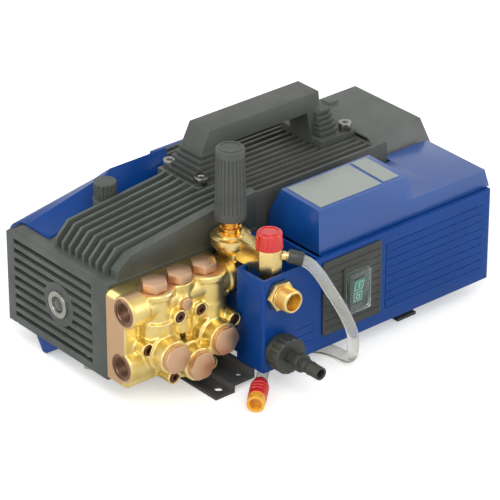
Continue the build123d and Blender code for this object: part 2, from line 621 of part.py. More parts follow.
def head_screws():
    screws = []
    for x, z, rise in HEAD_SCREWS:
        seat = HEAD_SLAB_Y - rise
        screw = cap_screw(M6_R, HEAD_FRONT_JOINT - seat + HEAD_SCREW_GRIP)
        screws.append(Pos(x, seat, z) * Rot(90, 0, 0) * screw)
    return screws


def gauge_port_plug():
    """Flat plug in the gauge port, between the screws at the top."""
    plug = y_rod(*GAUGE_PLACE, GAUGE_R - SEAT, GAUGE_FACE_Y, GAUGE_FACE_Y + GAUGE_DEPTH - 0.4)
    return plug + y_rod(*GAUGE_PLACE, GAUGE_HEAD_R, GAUGE_FACE_Y - 3.5, GAUGE_FACE_Y)


def outlet_valve_caps():
    """Hexagon plugs on top of the three barrels."""
    rim = HEAD_Z1 + 1
    return [z_hex(x, OUTLET_VALVE_Y, OUTLET_CAP_HEX, rim, rim + OUTLET_CAP_H)
            + z_rod(x, OUTLET_VALVE_Y, VALVE_R - SEAT, rim - CAP_PLUG_H, rim) for x in CYLINDERS]


def inlet_valve_caps():
    """Plugs with a round rim and a hexagon front on the three inlet valves."""
    caps = []
    for x, z in zip(CYLINDERS, INLET_CAP_Z):
        cap = y_rod(x, z, INLET_CAP_R, INLET_FACE_Y - 2, INLET_FACE_Y)
        cap += y_hex(x, z, INLET_CAP_HEX, INLET_FACE_Y - 5, INLET_FACE_Y - 2) & y_rod(
            x, z, INLET_CAP_R, INLET_FACE_Y - 5, INLET_FACE_Y - 2)
        caps.append(cap + y_rod(x, z, VALVE_R - SEAT, INLET_FACE_Y, INLET_FACE_Y + 10))
    return caps


def valve_cartridge(length):
    """Seat, cage and poppet of one check valve along z, standing on z = 0."""
    cage = z_rod(0, 0, VALVE_R - 0.1, 0, length) - z_rod(0, 0, VALVE_R - 2.5, 4, length + 1)
    cage -= z_rod(0, 0, 4, -1, length)
    for turn in (0, 90):
        cage -= Rot(0, 0, turn) * block(-VALVE_R, VALVE_R, -3, 3, 6, length - 2)
    return cage + z_rod(0, 0, 5.5, 3.5, 6)


def outlet_valves():
    floor = outlet_valve_floor()
    cartridge = valve_cartridge(HEAD_Z1 + 1 - CAP_PLUG_H - floor)
    return [Pos(x, OUTLET_VALVE_Y, floor) * cartridge for x in CYLINDERS]


def inlet_valves():
    length = HEAD_SLAB_Y - 2 - INLET_FACE_Y - 10
    return [Pos(x, HEAD_SLAB_Y - 2, z) * Rot(90, 0, 0) * valve_cartridge(length)
            for x, z in zip(CYLINDERS, INLET_CAP_Z)]


# ---------------------------------------------------------------- motor
def motor_frame():
    """Round shell with a flat deck of fins along the shaft, a pad for the handle and a side rail."""
    frame = x_rod(0, AXIS_Z, FRAME_R, MOTOR_X0, MOTOR_X1)
    frame += block(MOTOR_X0, MOTOR_X1, -FRAME_HALF, FRAME_HALF, DECK_Z - 14, DECK_Z)
    window_x0, window_x1 = HANDLE_X0 + BASE_LENGTH + GAP, HANDLE_X1 - BASE_LENGTH - GAP
    frame += block(MOTOR_X0, window_x0 - GAP, -HANDLE_HALF, HANDLE_HALF, AXIS_Z, HANDLE_BASE_Z)
    frame += block(window_x1 + GAP, MOTOR_X1, -HANDLE_HALF, HANDLE_HALF, AXIS_Z, HANDLE_BASE_Z)
    for i in range(-3, 4):
        y = i * MOTOR_FIN_PITCH
        frame += block(window_x0, window_x1, y - MOTOR_FIN_T / 2, y + MOTOR_FIN_T / 2, AXIS_Z, MOTOR_FIN_Z)
    count = int((FRAME_HALF - HANDLE_HALF) / MOTOR_FIN_PITCH)
    for side in (-1, 1):
        for i in range(count):
            y = side * (HANDLE_HALF + 3 + i * MOTOR_FIN_PITCH)
            frame += block(MOTOR_X0, MOTOR_X1, y - MOTOR_FIN_T / 2, y + MOTOR_FIN_T / 2, AXIS_Z, MOTOR_FIN_Z)
        y0, y1 = sorted((side * HANDLE_HALF, side * FRAME_HALF))
        frame += block(MOTOR_X1 - END_PLATE_T, MOTOR_X1, y0, y1, DECK_Z - 1, MOTOR_FIN_Z)
    frame += block(MOTOR_X0, MOTOR_X1, -FRAME_HALF, -FRAME_HALF + 3, DECK_Z - 1, RAIL_Z)
    frame -= x_rod(0, AXIS_Z, STATOR_R + SEAT, MOTOR_X0 - 1, MOTOR_X1 + 1)
    for side in (-1, 1):
        y = side * MOTOR_LUG_Y
        frame += block(MOTOR_FOOT_X - 10, MOTOR_FOOT_X + 10, y - 9, y + 9, FOOT_T, AXIS_Z - 42)
        frame -= x_rod(0, AXIS_Z, STATOR_R + SEAT, MOTOR_FOOT_X - 11, MOTOR_FOOT_X + 11)
        frame -= z_rod(MOTOR_FOOT_X, y, M6_R, FOOT_T - 1, FOOT_T + 12)
    for x, y in handle_screw_places()[2:]:
        frame -= z_rod(x, y, M8_R, HANDLE_BASE_Z - HANDLE_THREAD - 2, HANDLE_BASE_Z + 1)
    return frame


def stator_core():
    core = x_rod(0, AXIS_Z, STATOR_R, STATOR_X0, STATOR_X1)
    core -= x_rod(0, AXIS_Z, STATOR_BORE_R, STATOR_X0 - 1, STATOR_X1 + 1)
    for i in range(12):
        slot = Pos((STATOR_X0 + STATOR_X1) / 2, 0, AXIS_Z) * Rot(i * 30, 0, 0) * (
            Pos(0, STATOR_BORE_R + 6, 0) * Box(STATOR_LENGTH + 2, 14, 4))
        core -= slot
    return core


def stator_windings():
    """The wound ends of the coils, one ring at each end of the core."""
    rings = []
    for x0, x1 in ((STATOR_X0 - WINDING_L, STATOR_X0), (STATOR_X1, STATOR_X1 + WINDING_L)):
        ring = x_rod(0, AXIS_Z, STATOR_R - 5, x0, x1) - x_rod(0, AXIS_Z, STATOR_BORE_R + 2, x0 - 1, x1 + 1)
        rings.append(fillet(ring.edges().filter_by(GeomType.CIRCLE), 3))
    return rings


def rotor_core():
    core = x_rod(0, AXIS_Z, ROTOR_R, STATOR_X0, STATOR_X1)
    core += x_rod(0, AXIS_Z, ROTOR_R - 4, STATOR_X0 - 10, STATOR_X1 + 10)
    return core - x_rod(0, AXIS_Z, MOTOR_SHAFT_R, STATOR_X0 - 11, STATOR_X1 + 11)


def motor_shaft():
    shaft = x_rod(0, AXIS_Z, MOTOR_SHAFT_R, COUPLING_X0 + 14, MOTOR_X1 - MOTOR_BEARING_W - 2)
    return shaft + x_rod(0, AXIS_Z, MOTOR_SHAFT_R - 1.5, MOTOR_X1 - MOTOR_BEARING_W - 2, FAN_X + 16)


def shaft_coupling():
    """Clamped sleeve that joins the crankshaft to the motor shaft."""
    end = COUPLING_X0 + COUPLING_L
    sleeve = x_rod(0, AXIS_Z, COUPLING_R, COUPLING_X0, end)
    sleeve -= x_rod(0, AXIS_Z, SHAFT_R, COUPLING_X0 - 1, COUPLING_X0 + 13)
    sleeve -= x_rod(0, AXIS_Z, MOTOR_SHAFT_R, COUPLING_X0, end + 1)
    return sleeve - block(COUPLING_X0 - 1, end + 1, -1, 1, AXIS_Z, AXIS_Z + COUPLING_R + 1)


def motor_bearings():
    bearings = []
    places = ((MOTOR_X0 + SHIELD_T, MOTOR_SHAFT_R + RUN),
              (MOTOR_X1 - MOTOR_BEARING_W, MOTOR_SHAFT_R - 1.5 + RUN))
    for x0, bore in places:
        race = x_rod(0, AXIS_Z, MOTOR_BEARING_R, x0, x0 + MOTOR_BEARING_W)
        bearings.append(race - x_rod(0, AXIS_Z, bore, x0 - 1, x0 + MOTOR_BEARING_W + 1))
    return bearings


def end_shield(face, inner):
    """Disc that closes the motor shell at x = face and holds a bearing on the side of inner."""
    step = SHIELD_T if inner > face else -SHIELD_T
    x0, x1 = sorted((face, face + step))
    boss0, boss1 = sorted((face, inner))
    shield = x_rod(0, AXIS_Z, STATOR_R - SEAT, x0, x1) + x_rod(0, AXIS_Z, MOTOR_BEARING_R + 4, boss0, boss1)
    for i in range(6):
        window = Pos((x0 + x1) / 2, 0, AXIS_Z) * Rot(i * 60, 0, 0) * Pos(0, 38, 0) * Box(2 * SHIELD_T, 12, 18)
        shield -= window
    return shield


def motor_front_shield():
    inner = MOTOR_X0 + SHIELD_T + MOTOR_BEARING_W
    shield = end_shield(MOTOR_X0, inner)
    shield -= x_rod(0, AXIS_Z, MOTOR_BEARING_R + SEAT, MOTOR_X0 + SHIELD_T, inner + 1)
    return shield - x_rod(0, AXIS_Z, MOTOR_SHAFT_R + 2, MOTOR_X0 - 1, MOTOR_X0 + SHIELD_T + 1)


def motor_rear_shield():
    shield = end_shield(MOTOR_X1, MOTOR_X1 - MOTOR_BEARING_W)
    return shield - x_rod(0, AXIS_Z, MOTOR_BEARING_R + SEAT, MOTOR_X1 - MOTOR_BEARING_W - 1, MOTOR_X1 + 1)


def cooling_fan():
    fan = x_rod(0, AXIS_Z, 16, FAN_X, FAN_X + 16)
    fan += x_rod(0, AXIS_Z, FAN_R, FAN_X, FAN_X + 2.5)
    blade = Pos(0, FAN_R / 2 + 6, 0) * Box(18, FAN_R - 16, 2.2)
    swept = x_rod(0, AXIS_Z, FAN_R, FAN_X, FAN_X + 20)
    for i in range(8):
        fan += Pos(FAN_X + 10, 0, AXIS_Z) * Rot(i * 45, 0, 0) * blade & swept
    return fan - x_rod(0, AXIS_Z, MOTOR_SHAFT_R - 1.5, FAN_X - 1, FAN_X + 17)


def cowl_outline(inset):
    """Outline (y, z) of the fan cowl: flat top, sloped shoulders, upright sides."""
    half = [(COWL_TOP_HALF, COWL_TOP_Z), (COWL_SHOULDER_HALF, COWL_TOP_Z - 20), (COWL_HALF, COWL_TOP_Z - 42),
            (COWL_HALF, 34), (COWL_HALF - 20, 8)]
    half = [(y - inset, z - inset if z > AXIS_Z else z + inset) for y, z in half]
    return half + [(-y, z) for y, z in reversed(half)]


def fan_cowl():
    cowl = x_prism(cowl_outline(0), MOTOR_X1, COWL_X1)
    cowl -= x_prism(cowl_outline(COWL_T), MOTOR_X1 - 1, COWL_X1 - COWL_T)
    for i in range(-5, 6):
        slot = block(COWL_X1 - COWL_T - 1, COWL_X1 + 1, -42, 42, AXIS_Z + i * 9 - 2, AXIS_Z + i * 9 + 2)
        cowl -= slot & x_rod(0, AXIS_Z, FAN_R, COWL_X1 - COWL_T - 2, COWL_X1 + 2)
    return cowl + block(MOTOR_X1 + 18, MOTOR_X1 + 30, 30, 42, COWL_TOP_Z - 1, COWL_TOP_Z + 3)


# ---------------------------------------------------------------- carry handle
def carry_handle():
    """Bridge handle with a sloped front leg and a ribbed, stepped foot at each end."""
    z0, top, deck = HANDLE_BASE_Z, GRIP_TOP_Z, HANDLE_BASE_Z + BASE_T
    under = top - GRIP_T
    outline = [(HANDLE_X0 + 16, z0), (HANDLE_X0 + 18, under), (HANDLE_X0 + 28, top), (HANDLE_X1 - 35.5, top),
               (HANDLE_X1 - 30.5, deck), (HANDLE_X1 - 29, z0)]
    handle = y_prism(outline, -GRIP_HALF, GRIP_HALF)
    for foot_x, outward, step in ((HANDLE_X0 + 15.5, -1, 2.8), (HANDLE_X1 - 21.5, 1, 0.8)):
        leg_x = HANDLE_X0 + 36 if outward < 0 else HANDLE_X1 - 40
        for i in range(RIB_COUNT):
            z = deck + i * RIB_PITCH
            lower = RIB_COUNT - 1 - i
            x0, x1 = sorted((foot_x + outward * lower * step, leg_x))
            half = GRIP_HALF + 2 + 1.8 * lower
            handle += block(x0, x1, -half, half, z + RIB_PITCH - RIB_H, z + RIB_PITCH)
            handle += block(x0 + 1.5, x1 - 1.5, -half + 1.5, half - 1.5, z - 0.01, z + RIB_PITCH)
    for x0, x1 in ((HANDLE_X0, HANDLE_X0 + BASE_LENGTH), (HANDLE_X1 - BASE_LENGTH, HANDLE_X1)):
        handle += block(x0, x1, -HANDLE_HALF, HANDLE_HALF, z0, deck)
    front, rear = HANDLE_X0 + BASE_LENGTH, HANDLE_X1 - BASE_LENGTH
    handle -= y_prism([(front, z0 - 1), (front, MOTOR_FIN_Z + 1), (front + 10, under), (rear - 6, under),
                       (rear, MOTOR_FIN_Z + 1), (rear, z0 - 1)], -HANDLE_HALF - 1, HANDLE_HALF + 1)
    for x, y in handle_screw_places():
        handle -= z_rod(x, y, M8_R + 0.3, z0 - 1, deck + 1)
        handle -= z_rod(x, y, 1.6 * M8_R + 0.4, deck, deck + 2 * RIB_PITCH)
    return handle


def handle_screws():
    screw = cap_screw(M8_R, BASE_T + HANDLE_THREAD)
    return [Pos(x, y, HANDLE_BASE_Z + BASE_T) * screw for x, y in handle_screw_places()]


def handle_screw_places():
    return [(x, y) for x in HANDLE_SCREW_X for y in (-HANDLE_SCREW_Y, HANDLE_SCREW_Y)]


# ---------------------------------------------------------------- blue housings
def housing_outline(inset):
    """Outline (x, y) of the housing, set in by a wall: a deep box with a step behind its left face."""
    x0, x1 = HOUSING_X0 + inset, HOUSING_X1 - inset
    y0, y1 = HOUSING_FRONT + inset, HOUSING_BACK - inset
    step_x, step_y = HOUSING_X0 + 8 + inset, HEAD_SLAB_Y - HOUSING_STEP - inset
    return [(x0, y0), (x1, y0), (x1, y1), (step_x, y1), (step_x, step_y), (x0, step_y)]


def housing_lines():
    """Shallow moulded lines in the front, right of the switch and under the outlet."""
    y0, y1 = HOUSING_FRONT - 1, HOUSING_FRONT + LINE_DEPTH
    x0, x1 = PANEL_X1 + 8, HOUSING_X1 - 11
    heights = [HOUSING_Z0 + 14 + i * LINE_PITCH for i in range(LINE_COUNT)]
    lines = [block(x0, x1, y0, y1, z, z + LINE_W) for z in heights]
    lines += [block(INLET_X + 24, PANEL_X0 - 9, y0, y1, z, z + LINE_W) for z in heights[:3]]
    lines.append(block(x0 - LINE_W, x0, y0, y1, heights[0], heights[-1] + LINE_W))
    return lines


def control_housing():
    """Moulded box in front of the motor: a wet recess at the pump end, a dry bay for the switch."""
    inset = HOUSING_WALL
    step_x, step_y = HOUSING_X0 + 8, HEAD_SLAB_Y - HOUSING_STEP
    box = z_prism(housing_outline(0), HOUSING_Z0, HOUSING_Z1)
    box = fillet(box.edges().filter_by(Axis.Z).group_by(Axis.Y)[0], 3)
    box -= z_prism(housing_outline(inset), HOUSING_Z0 + inset, HOUSING_Z1 + 1)
    box += block(HOUSING_X0 + 1, BULKHEAD_X, HOUSING_FRONT + 1, step_y - 1, RECESS_Z - inset, RECESS_Z)
    box += block(step_x + 1, BULKHEAD_X, step_y - 2, HOUSING_BACK - 1, RECESS_Z - inset, RECESS_Z)
    box += block(BULKHEAD_X - inset, BULKHEAD_X, HOUSING_FRONT + 1, HOUSING_BACK - 1,
                 HOUSING_Z0 + 1, HOUSING_Z1)
    box -= block(step_x - 1, step_x + inset + 1, step_y + 1, HOUSING_BACK + 1, RECESS_Z, HOUSING_Z1 + 1)
    box -= block(step_x - inset, UNLOADER_X + VALVE_HALF + 1, UNLOADER_Y - VALVE_HALF - 1,
                 UNLOADER_Y + VALVE_HALF + 1, DELIVERY_Z - VALVE_HALF - 1, HOUSING_Z1 + 1)
    box -= x_rod(GLAND_Y, GLAND_Z, GLAND_R, HOUSING_X1 - inset - 1, HOUSING_X1 + 1)
    box -= y_rod(OUTLET_X, OUTLET_Z, OUTLET_R + 1.5, HOUSING_FRONT - 1, HOUSING_FRONT + inset + 1)
    box -= y_rod(INLET_X, INLET_Z, PIPE_R + 3, HOUSING_FRONT - 1, HOUSING_FRONT + inset + 1)
    box -= y_rod(INLET_X, INLET_Z, PIPE_R + GAP, HOUSING_FRONT + inset, SUPPLY_Y)
    box -= block(step_x - 1, step_x + inset + 1, step_y, SUPPLY_Y + PIPE_R + 1,
                 min(INLET_Z, SUPPLY_Z) - PIPE_R - GAP, max(INLET_Z, SUPPLY_Z) + PIPE_R + GAP)
    box -= switch_window(HOUSING_FRONT - 1, HOUSING_FRONT + inset + 1)
    box -= housing_lines()
    for x, z in ((CASE_X1 - 38, HOUSING_Z0 + 16), (CASE_X1 - 8, HOUSING_Z0 + 16),
                 (CASE_X1 - 8, HOUSING_Z1 - 13)):
        box += y_rod(x, z, PAD_R, HOUSING_BACK - 1, -CASE_HALF)
    for x in (MOTOR_X0 + 42, MOTOR_X1 - 15):
        box += y_rod(x, HOUSING_Z1 - PAD_R, PAD_R, HOUSING_BACK - 1, -FRAME_HALF)
    return box


def cover_section(step):
    """Outline (y, z) of the top cover, tall over the switch and low beside the fan."""
    z0 = HOUSING_Z1 + GAP
    seam, back = HOUSING_FRONT + COVER_SET_BACK, HOUSING_BACK - 1
    if step == "tall":
        return [(seam, z0), (seam + COVER_LEAN, COVER_TOP_Z - 1), (back - 13, COVER_TOP_Z + 1),
                (back, COVER_TOP_Z - 26), (back, z0)]
    if step == "end":
        back = -COWL_HALF - GAP
    rise = (COVER_LOW_Z - z0) / (COVER_TOP_Z - z0)
    return [(seam, z0), (seam + COVER_LEAN * rise, COVER_LOW_Z), (back, COVER_LOW_Z + 1), (back, z0)]


def tall_ends(inset):
    """Outline (x, z) that gives the tall part its leaning ends, set in by a wall."""
    low, high = HOUSING_Z1 - 5, COVER_TOP_Z + 3
    return [(COVER_X0 + inset, low), (COVER_X0 + 6 + inset, high), (COVER_STEP_X - 13 - inset, high),
            (COVER_STEP_X - inset, low)]


def low_ends(inset):
    """The same for the low part."""
    low, high = HOUSING_Z1 - 5, COVER_LOW_Z + 3
    start = COVER_X0 + 20
    return [(start, low), (start, high), (COVER_X1 - 6 - inset, high), (COVER_X1 - inset, low)]


def shrink(points, inset):
    """The same outline with every corner moved in along y and z, its lowest edge left where it is."""
    low = min(z for _, z in points)
    middle = sum(y for y, _ in points) / len(points)
    return [(y + math.copysign(inset, middle - y), z - inset if z > low else z - 1) for y, z in points]


def top_cover():
    """Cover over the controls: a tall part with the plates and a low part beside the cowl."""
    wall = HOUSING_WALL
    y0, y1 = HOUSING_FRONT, -COWL_HALF + 1
    turn = MOTOR_X1 + 2
    tall = x_prism(cover_section("tall"), COVER_X0, COVER_STEP_X) & y_prism(tall_ends(0), y0, y1)
    low = x_prism(cover_section("low"), COVER_STEP_X - 20, turn)
    low += x_prism(cover_section("end"), turn, COVER_X1)
    cover = tall + (low & y_prism(low_ends(0), y0, y1))
    tall_room = x_prism(shrink(cover_section("tall"), wall), COVER_X0, COVER_STEP_X)
    low_room = x_prism(shrink(cover_section("low"), wall), COVER_STEP_X - 20, turn + 1)
    low_room += x_prism(shrink(cover_section("end"), wall), turn, COVER_X1)
    cover -= tall_room & y_prism(tall_ends(wall), y0, y1)
    return cover - (low_room & y_prism(low_ends(wall), y0, y1))


def plate_on_cover(x0, x1, y0, y1):
    """A thin plate that lies on the cover's sloped top."""
    section = cover_section("tall")
    (ya, za), (yb, zb) = section[1], section[2]
    slope = (zb - za) / (yb - ya)
    z0, z1 = za + slope * (y0 - ya), za + slope * (y1 - ya)
    return x_prism([(y0, z0), (y1, z1), (y1, z1 + PLATE_T), (y0, z0 + PLATE_T)], x0, x1)


def name_plates():
    y0, y1 = HOUSING_FRONT + 17, HOUSING_BACK - 17
    return plate_on_cover(0, 76, y0, y1), plate_on_cover(80, 99, y0 + 1, y1)


def shroud_section(foot_y, ridge, shoulder, side):
    """Outline (y, z) of the rear shroud: foot on the crankcase, ridge, shoulder and a tucked-in back wall.

    ridge, shoulder and side are the heights at the ridge, at the top of the back wall and on it.
    """
    t, base = HOUSING_WALL, CASE_Z1 + GAP
    edge, back = SHROUD_Y - 5, max(ridge - 9, base + 1.2)
    outer = [(foot_y, base), (foot_y + 0.6, base + 1.3), (SHROUD_RIDGE_Y, ridge), (CASE_BACK + 2.5, back),
             (edge, shoulder), (SHROUD_Y, side), (SHROUD_Y, 40), (edge, 16)]
    inner = [(edge - t, 16), (SHROUD_Y - t, 40 + t / 2), (SHROUD_Y - t, side - 1), (edge - 2, shoulder - t),
             (CASE_BACK + 1, max(back - t, base)), (SHROUD_RIDGE_Y, max(ridge - t, base + 0.1)),
             (foot_y + t, base)]
    return outer + inner


def rear_shroud():
    """Blue shell over the rear of the crankcase and motor."""
    wall = HOUSING_WALL
    end = shroud_section(27, CASE_Z1 + 2.8, CASE_Z1 - 6, CASE_Z1 - 12)
    turn = shroud_section(47, CASE_Z1 + 25, CASE_Z1 + 9, CASE_Z1)
    full = shroud_section(47, CASE_Z1 + 29.5, CASE_Z1 + 10, CASE_Z1)
    faces = [Plane.YZ.offset(x) * Polygon(*points, align=None)
             for x, points in ((SHROUD_X0, end), (SHROUD_TURN_X, turn), (SHROUD_TURN_X + 6, full))]
    shell = loft(faces[:2], ruled=True) + loft(faces[1:], ruled=True)
    shell += x_prism(full, SHROUD_TURN_X + 6, CASE_X1)
    side, edge = FRAME_HALF + GAP, SHROUD_Y - 5
    for x0, x1, top in ((CASE_X1, SHROUD_END_X, DECK_Z + 18), (SHROUD_END_X, SHROUD_X1, DECK_Z - 6)):
        section = [(side, top), (edge, top - 3), (SHROUD_Y, top - 16), (SHROUD_Y, 40), (edge, 16),
                   (edge - wall, 16), (SHROUD_Y - wall, 40 + wall / 2), (SHROUD_Y - wall, top - 17),
                   (edge - 2, top - 6), (side + wall, top - 5), (side + wall, DECK_Z - 12),
                   (side, DECK_Z - 12)]
        shell += x_prism(section, x0, x1)
    shell += block(SHROUD_END_X - wall, SHROUD_END_X, side + 1, SHROUD_Y - 1, DECK_Z - 20, DECK_Z + 3)
    inner = CASE_BACK + REAR_COVER_T + GAP
    return shell + block(SHROUD_X0, SHROUD_X0 + wall, inner, SHROUD_Y - 1, 30, CASE_Z1 - 14)


def corner_foot():
    """Moulded foot under the rear corner of the pump end, narrow at the floor."""
    return x_prism([(2, CASE_Z0), (28, 1), (33, 1), (44.5, CASE_Z0)], CASE_X0 + 3, CASE_X0 + 30)


# ---------------------------------------------------------------- switch and electrics
def switch_window(y0, y1):
    """The window that the switch case passes through, from y0 to y1."""
    return block(SWITCH_X - SWITCH_W / 2, SWITCH_X + SWITCH_W / 2, y0, y1,
                 SWITCH_Z - SWITCH_H / 2, SWITCH_Z + SWITCH_H / 2)


def switch_panel():
    """Ribbed dark field on the housing's front with a raised pad round the switch."""
    face = HOUSING_FRONT - PANEL_T
    panel = block(PANEL_X0, PANEL_X1, face, HOUSING_FRONT, PANEL_Z0, PANEL_Z1)
    panel = fillet(panel.edges().filter_by(Axis.Y), 3)
    pitch = (PANEL_Z1 - PANEL_Z0) / 10
    for i in range(1, 10):
        z = PANEL_Z0 + i * pitch
        panel -= block(PANEL_X0 + 2, PANEL_X1 - 2, face - 1, face + 0.8, z - 0.8, z + 0.8)
    pad = block(SWITCH_X - PAD_HALF_W, SWITCH_X + PAD_HALF_W, SWITCH_FACE, face + 1,
                SWITCH_Z - PAD_HALF_H, SWITCH_Z + PAD_HALF_H)
    panel += fillet(pad.edges().filter_by(Axis.Y), 3)
    return panel - switch_window(SWITCH_FACE - 1, HOUSING_FRONT + 1)


def switch_body():
    """Switch case with its bezel, held in the panel's window, and three blade contacts behind."""
    half_w, half_h = SWITCH_W / 2, SWITCH_H / 2
    body = block(SWITCH_X - half_w + GAP, SWITCH_X + half_w - GAP, SWITCH_FACE, HOUSING_FRONT + 24,
                 SWITCH_Z - half_h + GAP, SWITCH_Z + half_h - GAP)
    rim_w, rim_h = half_w + BEZEL_W, half_h + BEZEL_W
    body += block(SWITCH_X - rim_w, SWITCH_X + rim_w, SWITCH_FACE - BEZEL_T, SWITCH_FACE,
                  SWITCH_Z - rim_h, SWITCH_Z + rim_h)
    well_w, well_h = ROCKER_W / 2 + GAP, ROCKER_H / 2 + 1.5
    body -= block(SWITCH_X - well_w, SWITCH_X + well_w, SWITCH_FACE - BEZEL_T - 1, HOUSING_FRONT + 12,
                  SWITCH_Z - well_h, SWITCH_Z + well_h)
    for side in (-1, 0, 1):
        z = SWITCH_Z + side * 11
        body += block(SWITCH_X - 3, SWITCH_X + 3, HOUSING_FRONT + 23, HOUSING_FRONT + 34, z - 0.5, z + 0.5)
    reach = ROCKER_W / 2 + 2.5
    return body - x_rod(HOUSING_FRONT + 1, SWITCH_Z, ROCKER_PIN_R + RUN, SWITCH_X - reach, SWITCH_X + reach)


def switch_rocker():
    """Rocker with its pivot pins, tipped to one side as it rests."""
    face = SWITCH_FACE - BEZEL_T
    half_w, half_h = ROCKER_W / 2, ROCKER_H / 2
    low, high = SWITCH_Z - half_h, SWITCH_Z + half_h
    outline = [(HOUSING_FRONT + 6, SWITCH_Z - 4), (face + 2, low), (face - 0.8, low), (face + 0.4, SWITCH_Z),
               (face - 0.8, high), (face + 2, high), (HOUSING_FRONT + 6, SWITCH_Z + 4)]
    rocker = x_prism(outline, SWITCH_X - half_w, SWITCH_X + half_w)
    rocker += x_rod(HOUSING_FRONT + 1, SWITCH_Z, ROCKER_PIN_R, SWITCH_X - half_w - 2, SWITCH_X + half_w + 2)
    pivot = Pos(0, HOUSING_FRONT + 1, SWITCH_Z)
    return pivot * Rot(ROCKER_TILT, 0, 0) * pivot.inverse() * rocker


def switch_hood():
    """Clear splash cover snapped round the bezel."""
    inner_w, inner_h = SWITCH_W / 2 + BEZEL_W + 0.2, SWITCH_H / 2 + BEZEL_W + 0.2
    front = SWITCH_FACE - HOOD_DEPTH
    hood = block(SWITCH_X - inner_w - HOOD_T, SWITCH_X + inner_w + HOOD_T, front, SWITCH_FACE,
                 SWITCH_Z - inner_h - HOOD_T, SWITCH_Z + inner_h + HOOD_T)
    hood = fillet(hood.edges().filter_by(Axis.Y), 2)
    hood = fillet(hood.faces().sort_by(Axis.Y)[0].edges(), HOOD_T)
    return hood - block(SWITCH_X - inner_w, SWITCH_X + inner_w, front + HOOD_T, SWITCH_FACE + 1,
                        SWITCH_Z - inner_h, SWITCH_Z + inner_h)


def run_capacitor():
    """Round capacitor in the dry bay, lying in its saddle."""
    radius, floor = 20, HOUSING_Z0 + HOUSING_WALL
    x, y, z = 105.0, HOUSING_FRONT + 49, floor + radius + 2
    can = x_rod(y, z, radius, x - 40, x + 40)
    can += [x_rod(y + dy, z, 2, x - 48, x - 40) for dy in (-6, 6)]
    saddle = block(x - 12, x + 12, y - 16, y + 16, floor, z - 8)
    return can, saddle - x_rod(y, z, radius, x - 41, x + 41)


def cable_gland():
    """Empty strain relief at the fan end, where the supply lead would enter."""
    y, z, r, x = GLAND_Y, GLAND_Z, GLAND_R, HOUSING_X1
    gland = x_hex(y, z, 2 * r + 4, x, x + 4) + x_rod(y, z, r - SEAT, x - 8, x)
    gland += x_rod(y, z, r + 1, x + 4, x + 7)
    return gland - x_rod(y, z, r - 3.5, x - 9, x + 8)


# ---------------------------------------------------------------- unloader and injector
def unloader_body():
    """Brass valve block: unloader column, bridge, and injector column that feeds the outlet."""
    x, y, top = UNLOADER_X, UNLOADER_Y, VALVE_TOP_Z
    bridge_z = HOUSING_Z1 + GAP
    beside_head = block(HEAD_X1, x + 30, y - 30, y + 30, 0, HEAD_Z1 + 4)
    half = VALVE_HALF
    body = block(HEAD_X1, x + half, y - half, y + half, DELIVERY_Z - 12, DELIVERY_Z + 12)
    body += z_rod(x, y, COLUMN_R + 1, DELIVERY_Z - half, HEAD_Z1 + 4) & beside_head
    body += z_rod(x, y, COLUMN_R, HEAD_Z1 + 4, top - 11, tip=FLANGE_R)
    body += z_rod(x, y, FLANGE_R, top - 11, top - 3)
    body += z_rod(x, y, COLUMN_R + 1, top - 3, top)
    body += block(x - 4, x + 13, INJECTOR_Y, y, bridge_z, top - 2)
    body += z_rod(INJECTOR_X, INJECTOR_Y, 10, OUTLET_Z - 12, bridge_z + 1)
    body += z_hex(INJECTOR_X, INJECTOR_Y, INJECTOR_HEX, bridge_z, top)
    body -= x_rod(DELIVERY_Y, DELIVERY_Z, GALLERY_R - 2, HEAD_X1 - 1, x)
    body -= z_rod(x, y, SPRING_R + 0.6, DELIVERY_Z + 4, top + 1)
    body -= y_rod(x + 4, top - 15, 4, INJECTOR_Y, y)
    body -= z_rod(INJECTOR_X, INJECTOR_Y, 4, OUTLET_Z, top - 14)
    body -= z_rod(INJECTOR_X, INJECTOR_Y, RED_STEM_R + RUN, top - 12, top + 1)
    body += y_rod(OUTLET_X, OUTLET_Z, 9, HOUSING_FRONT + OUTLET_ROOT, INJECTOR_Y)
    return body - y_rod(OUTLET_X, OUTLET_Z, 6, HOUSING_FRONT + OUTLET_ROOT - 1, INJECTOR_Y)


def unloader_collar():
    """Threaded neck that the knob turns on."""
    x, y = UNLOADER_X, UNLOADER_Y
    collar = z_rod(x, y, 10.5, VALVE_TOP_Z, VALVE_TOP_Z + 6) + z_rod(x, y, 8, VALVE_TOP_Z, KNOB_Z0)
    collar += z_rod(x, y, 9.5, VALVE_TOP_Z + 9, KNOB_Z0 - GAP)
    collar += z_rod(x, y, STEM_R, KNOB_Z0 - 1, KNOB_Z1 - 20)
    return collar - z_rod(x, y, STEM_R - 2, VALVE_TOP_Z - 1, KNOB_Z1 - 40)


def unloader_piston():
    """Guide piston that the knob's spring loads, seated at the bottom of its bore."""
    x, y = UNLOADER_X, UNLOADER_Y
    piston = z_rod(x, y, SPRING_R, DELIVERY_Z + 4, DELIVERY_Z + 14)
    return piston + z_rod(x, y, 2.5, DELIVERY_Z + 13, VALVE_TOP_Z - 2)


def unloader_spring():
    """Disc springs stacked round the piston's rod."""
    x, y = UNLOADER_X, UNLOADER_Y
    discs = []
    bottom, top = DELIVERY_Z + 14, VALVE_TOP_Z
    count = 10
    pitch = (top - bottom) / count
    for i in range(count):
        z = bottom + i * pitch
        disc = z_rod(x, y, SPRING_R, z, z + pitch) - z_rod(x, y, 3, z - 1, z + pitch + 1)
        discs.append(disc - z_rod(x, y, SPRING_R - 0.5, z + pitch * 0.6, z + pitch + 0.1, tip=SPRING_R - 1))
    return discs


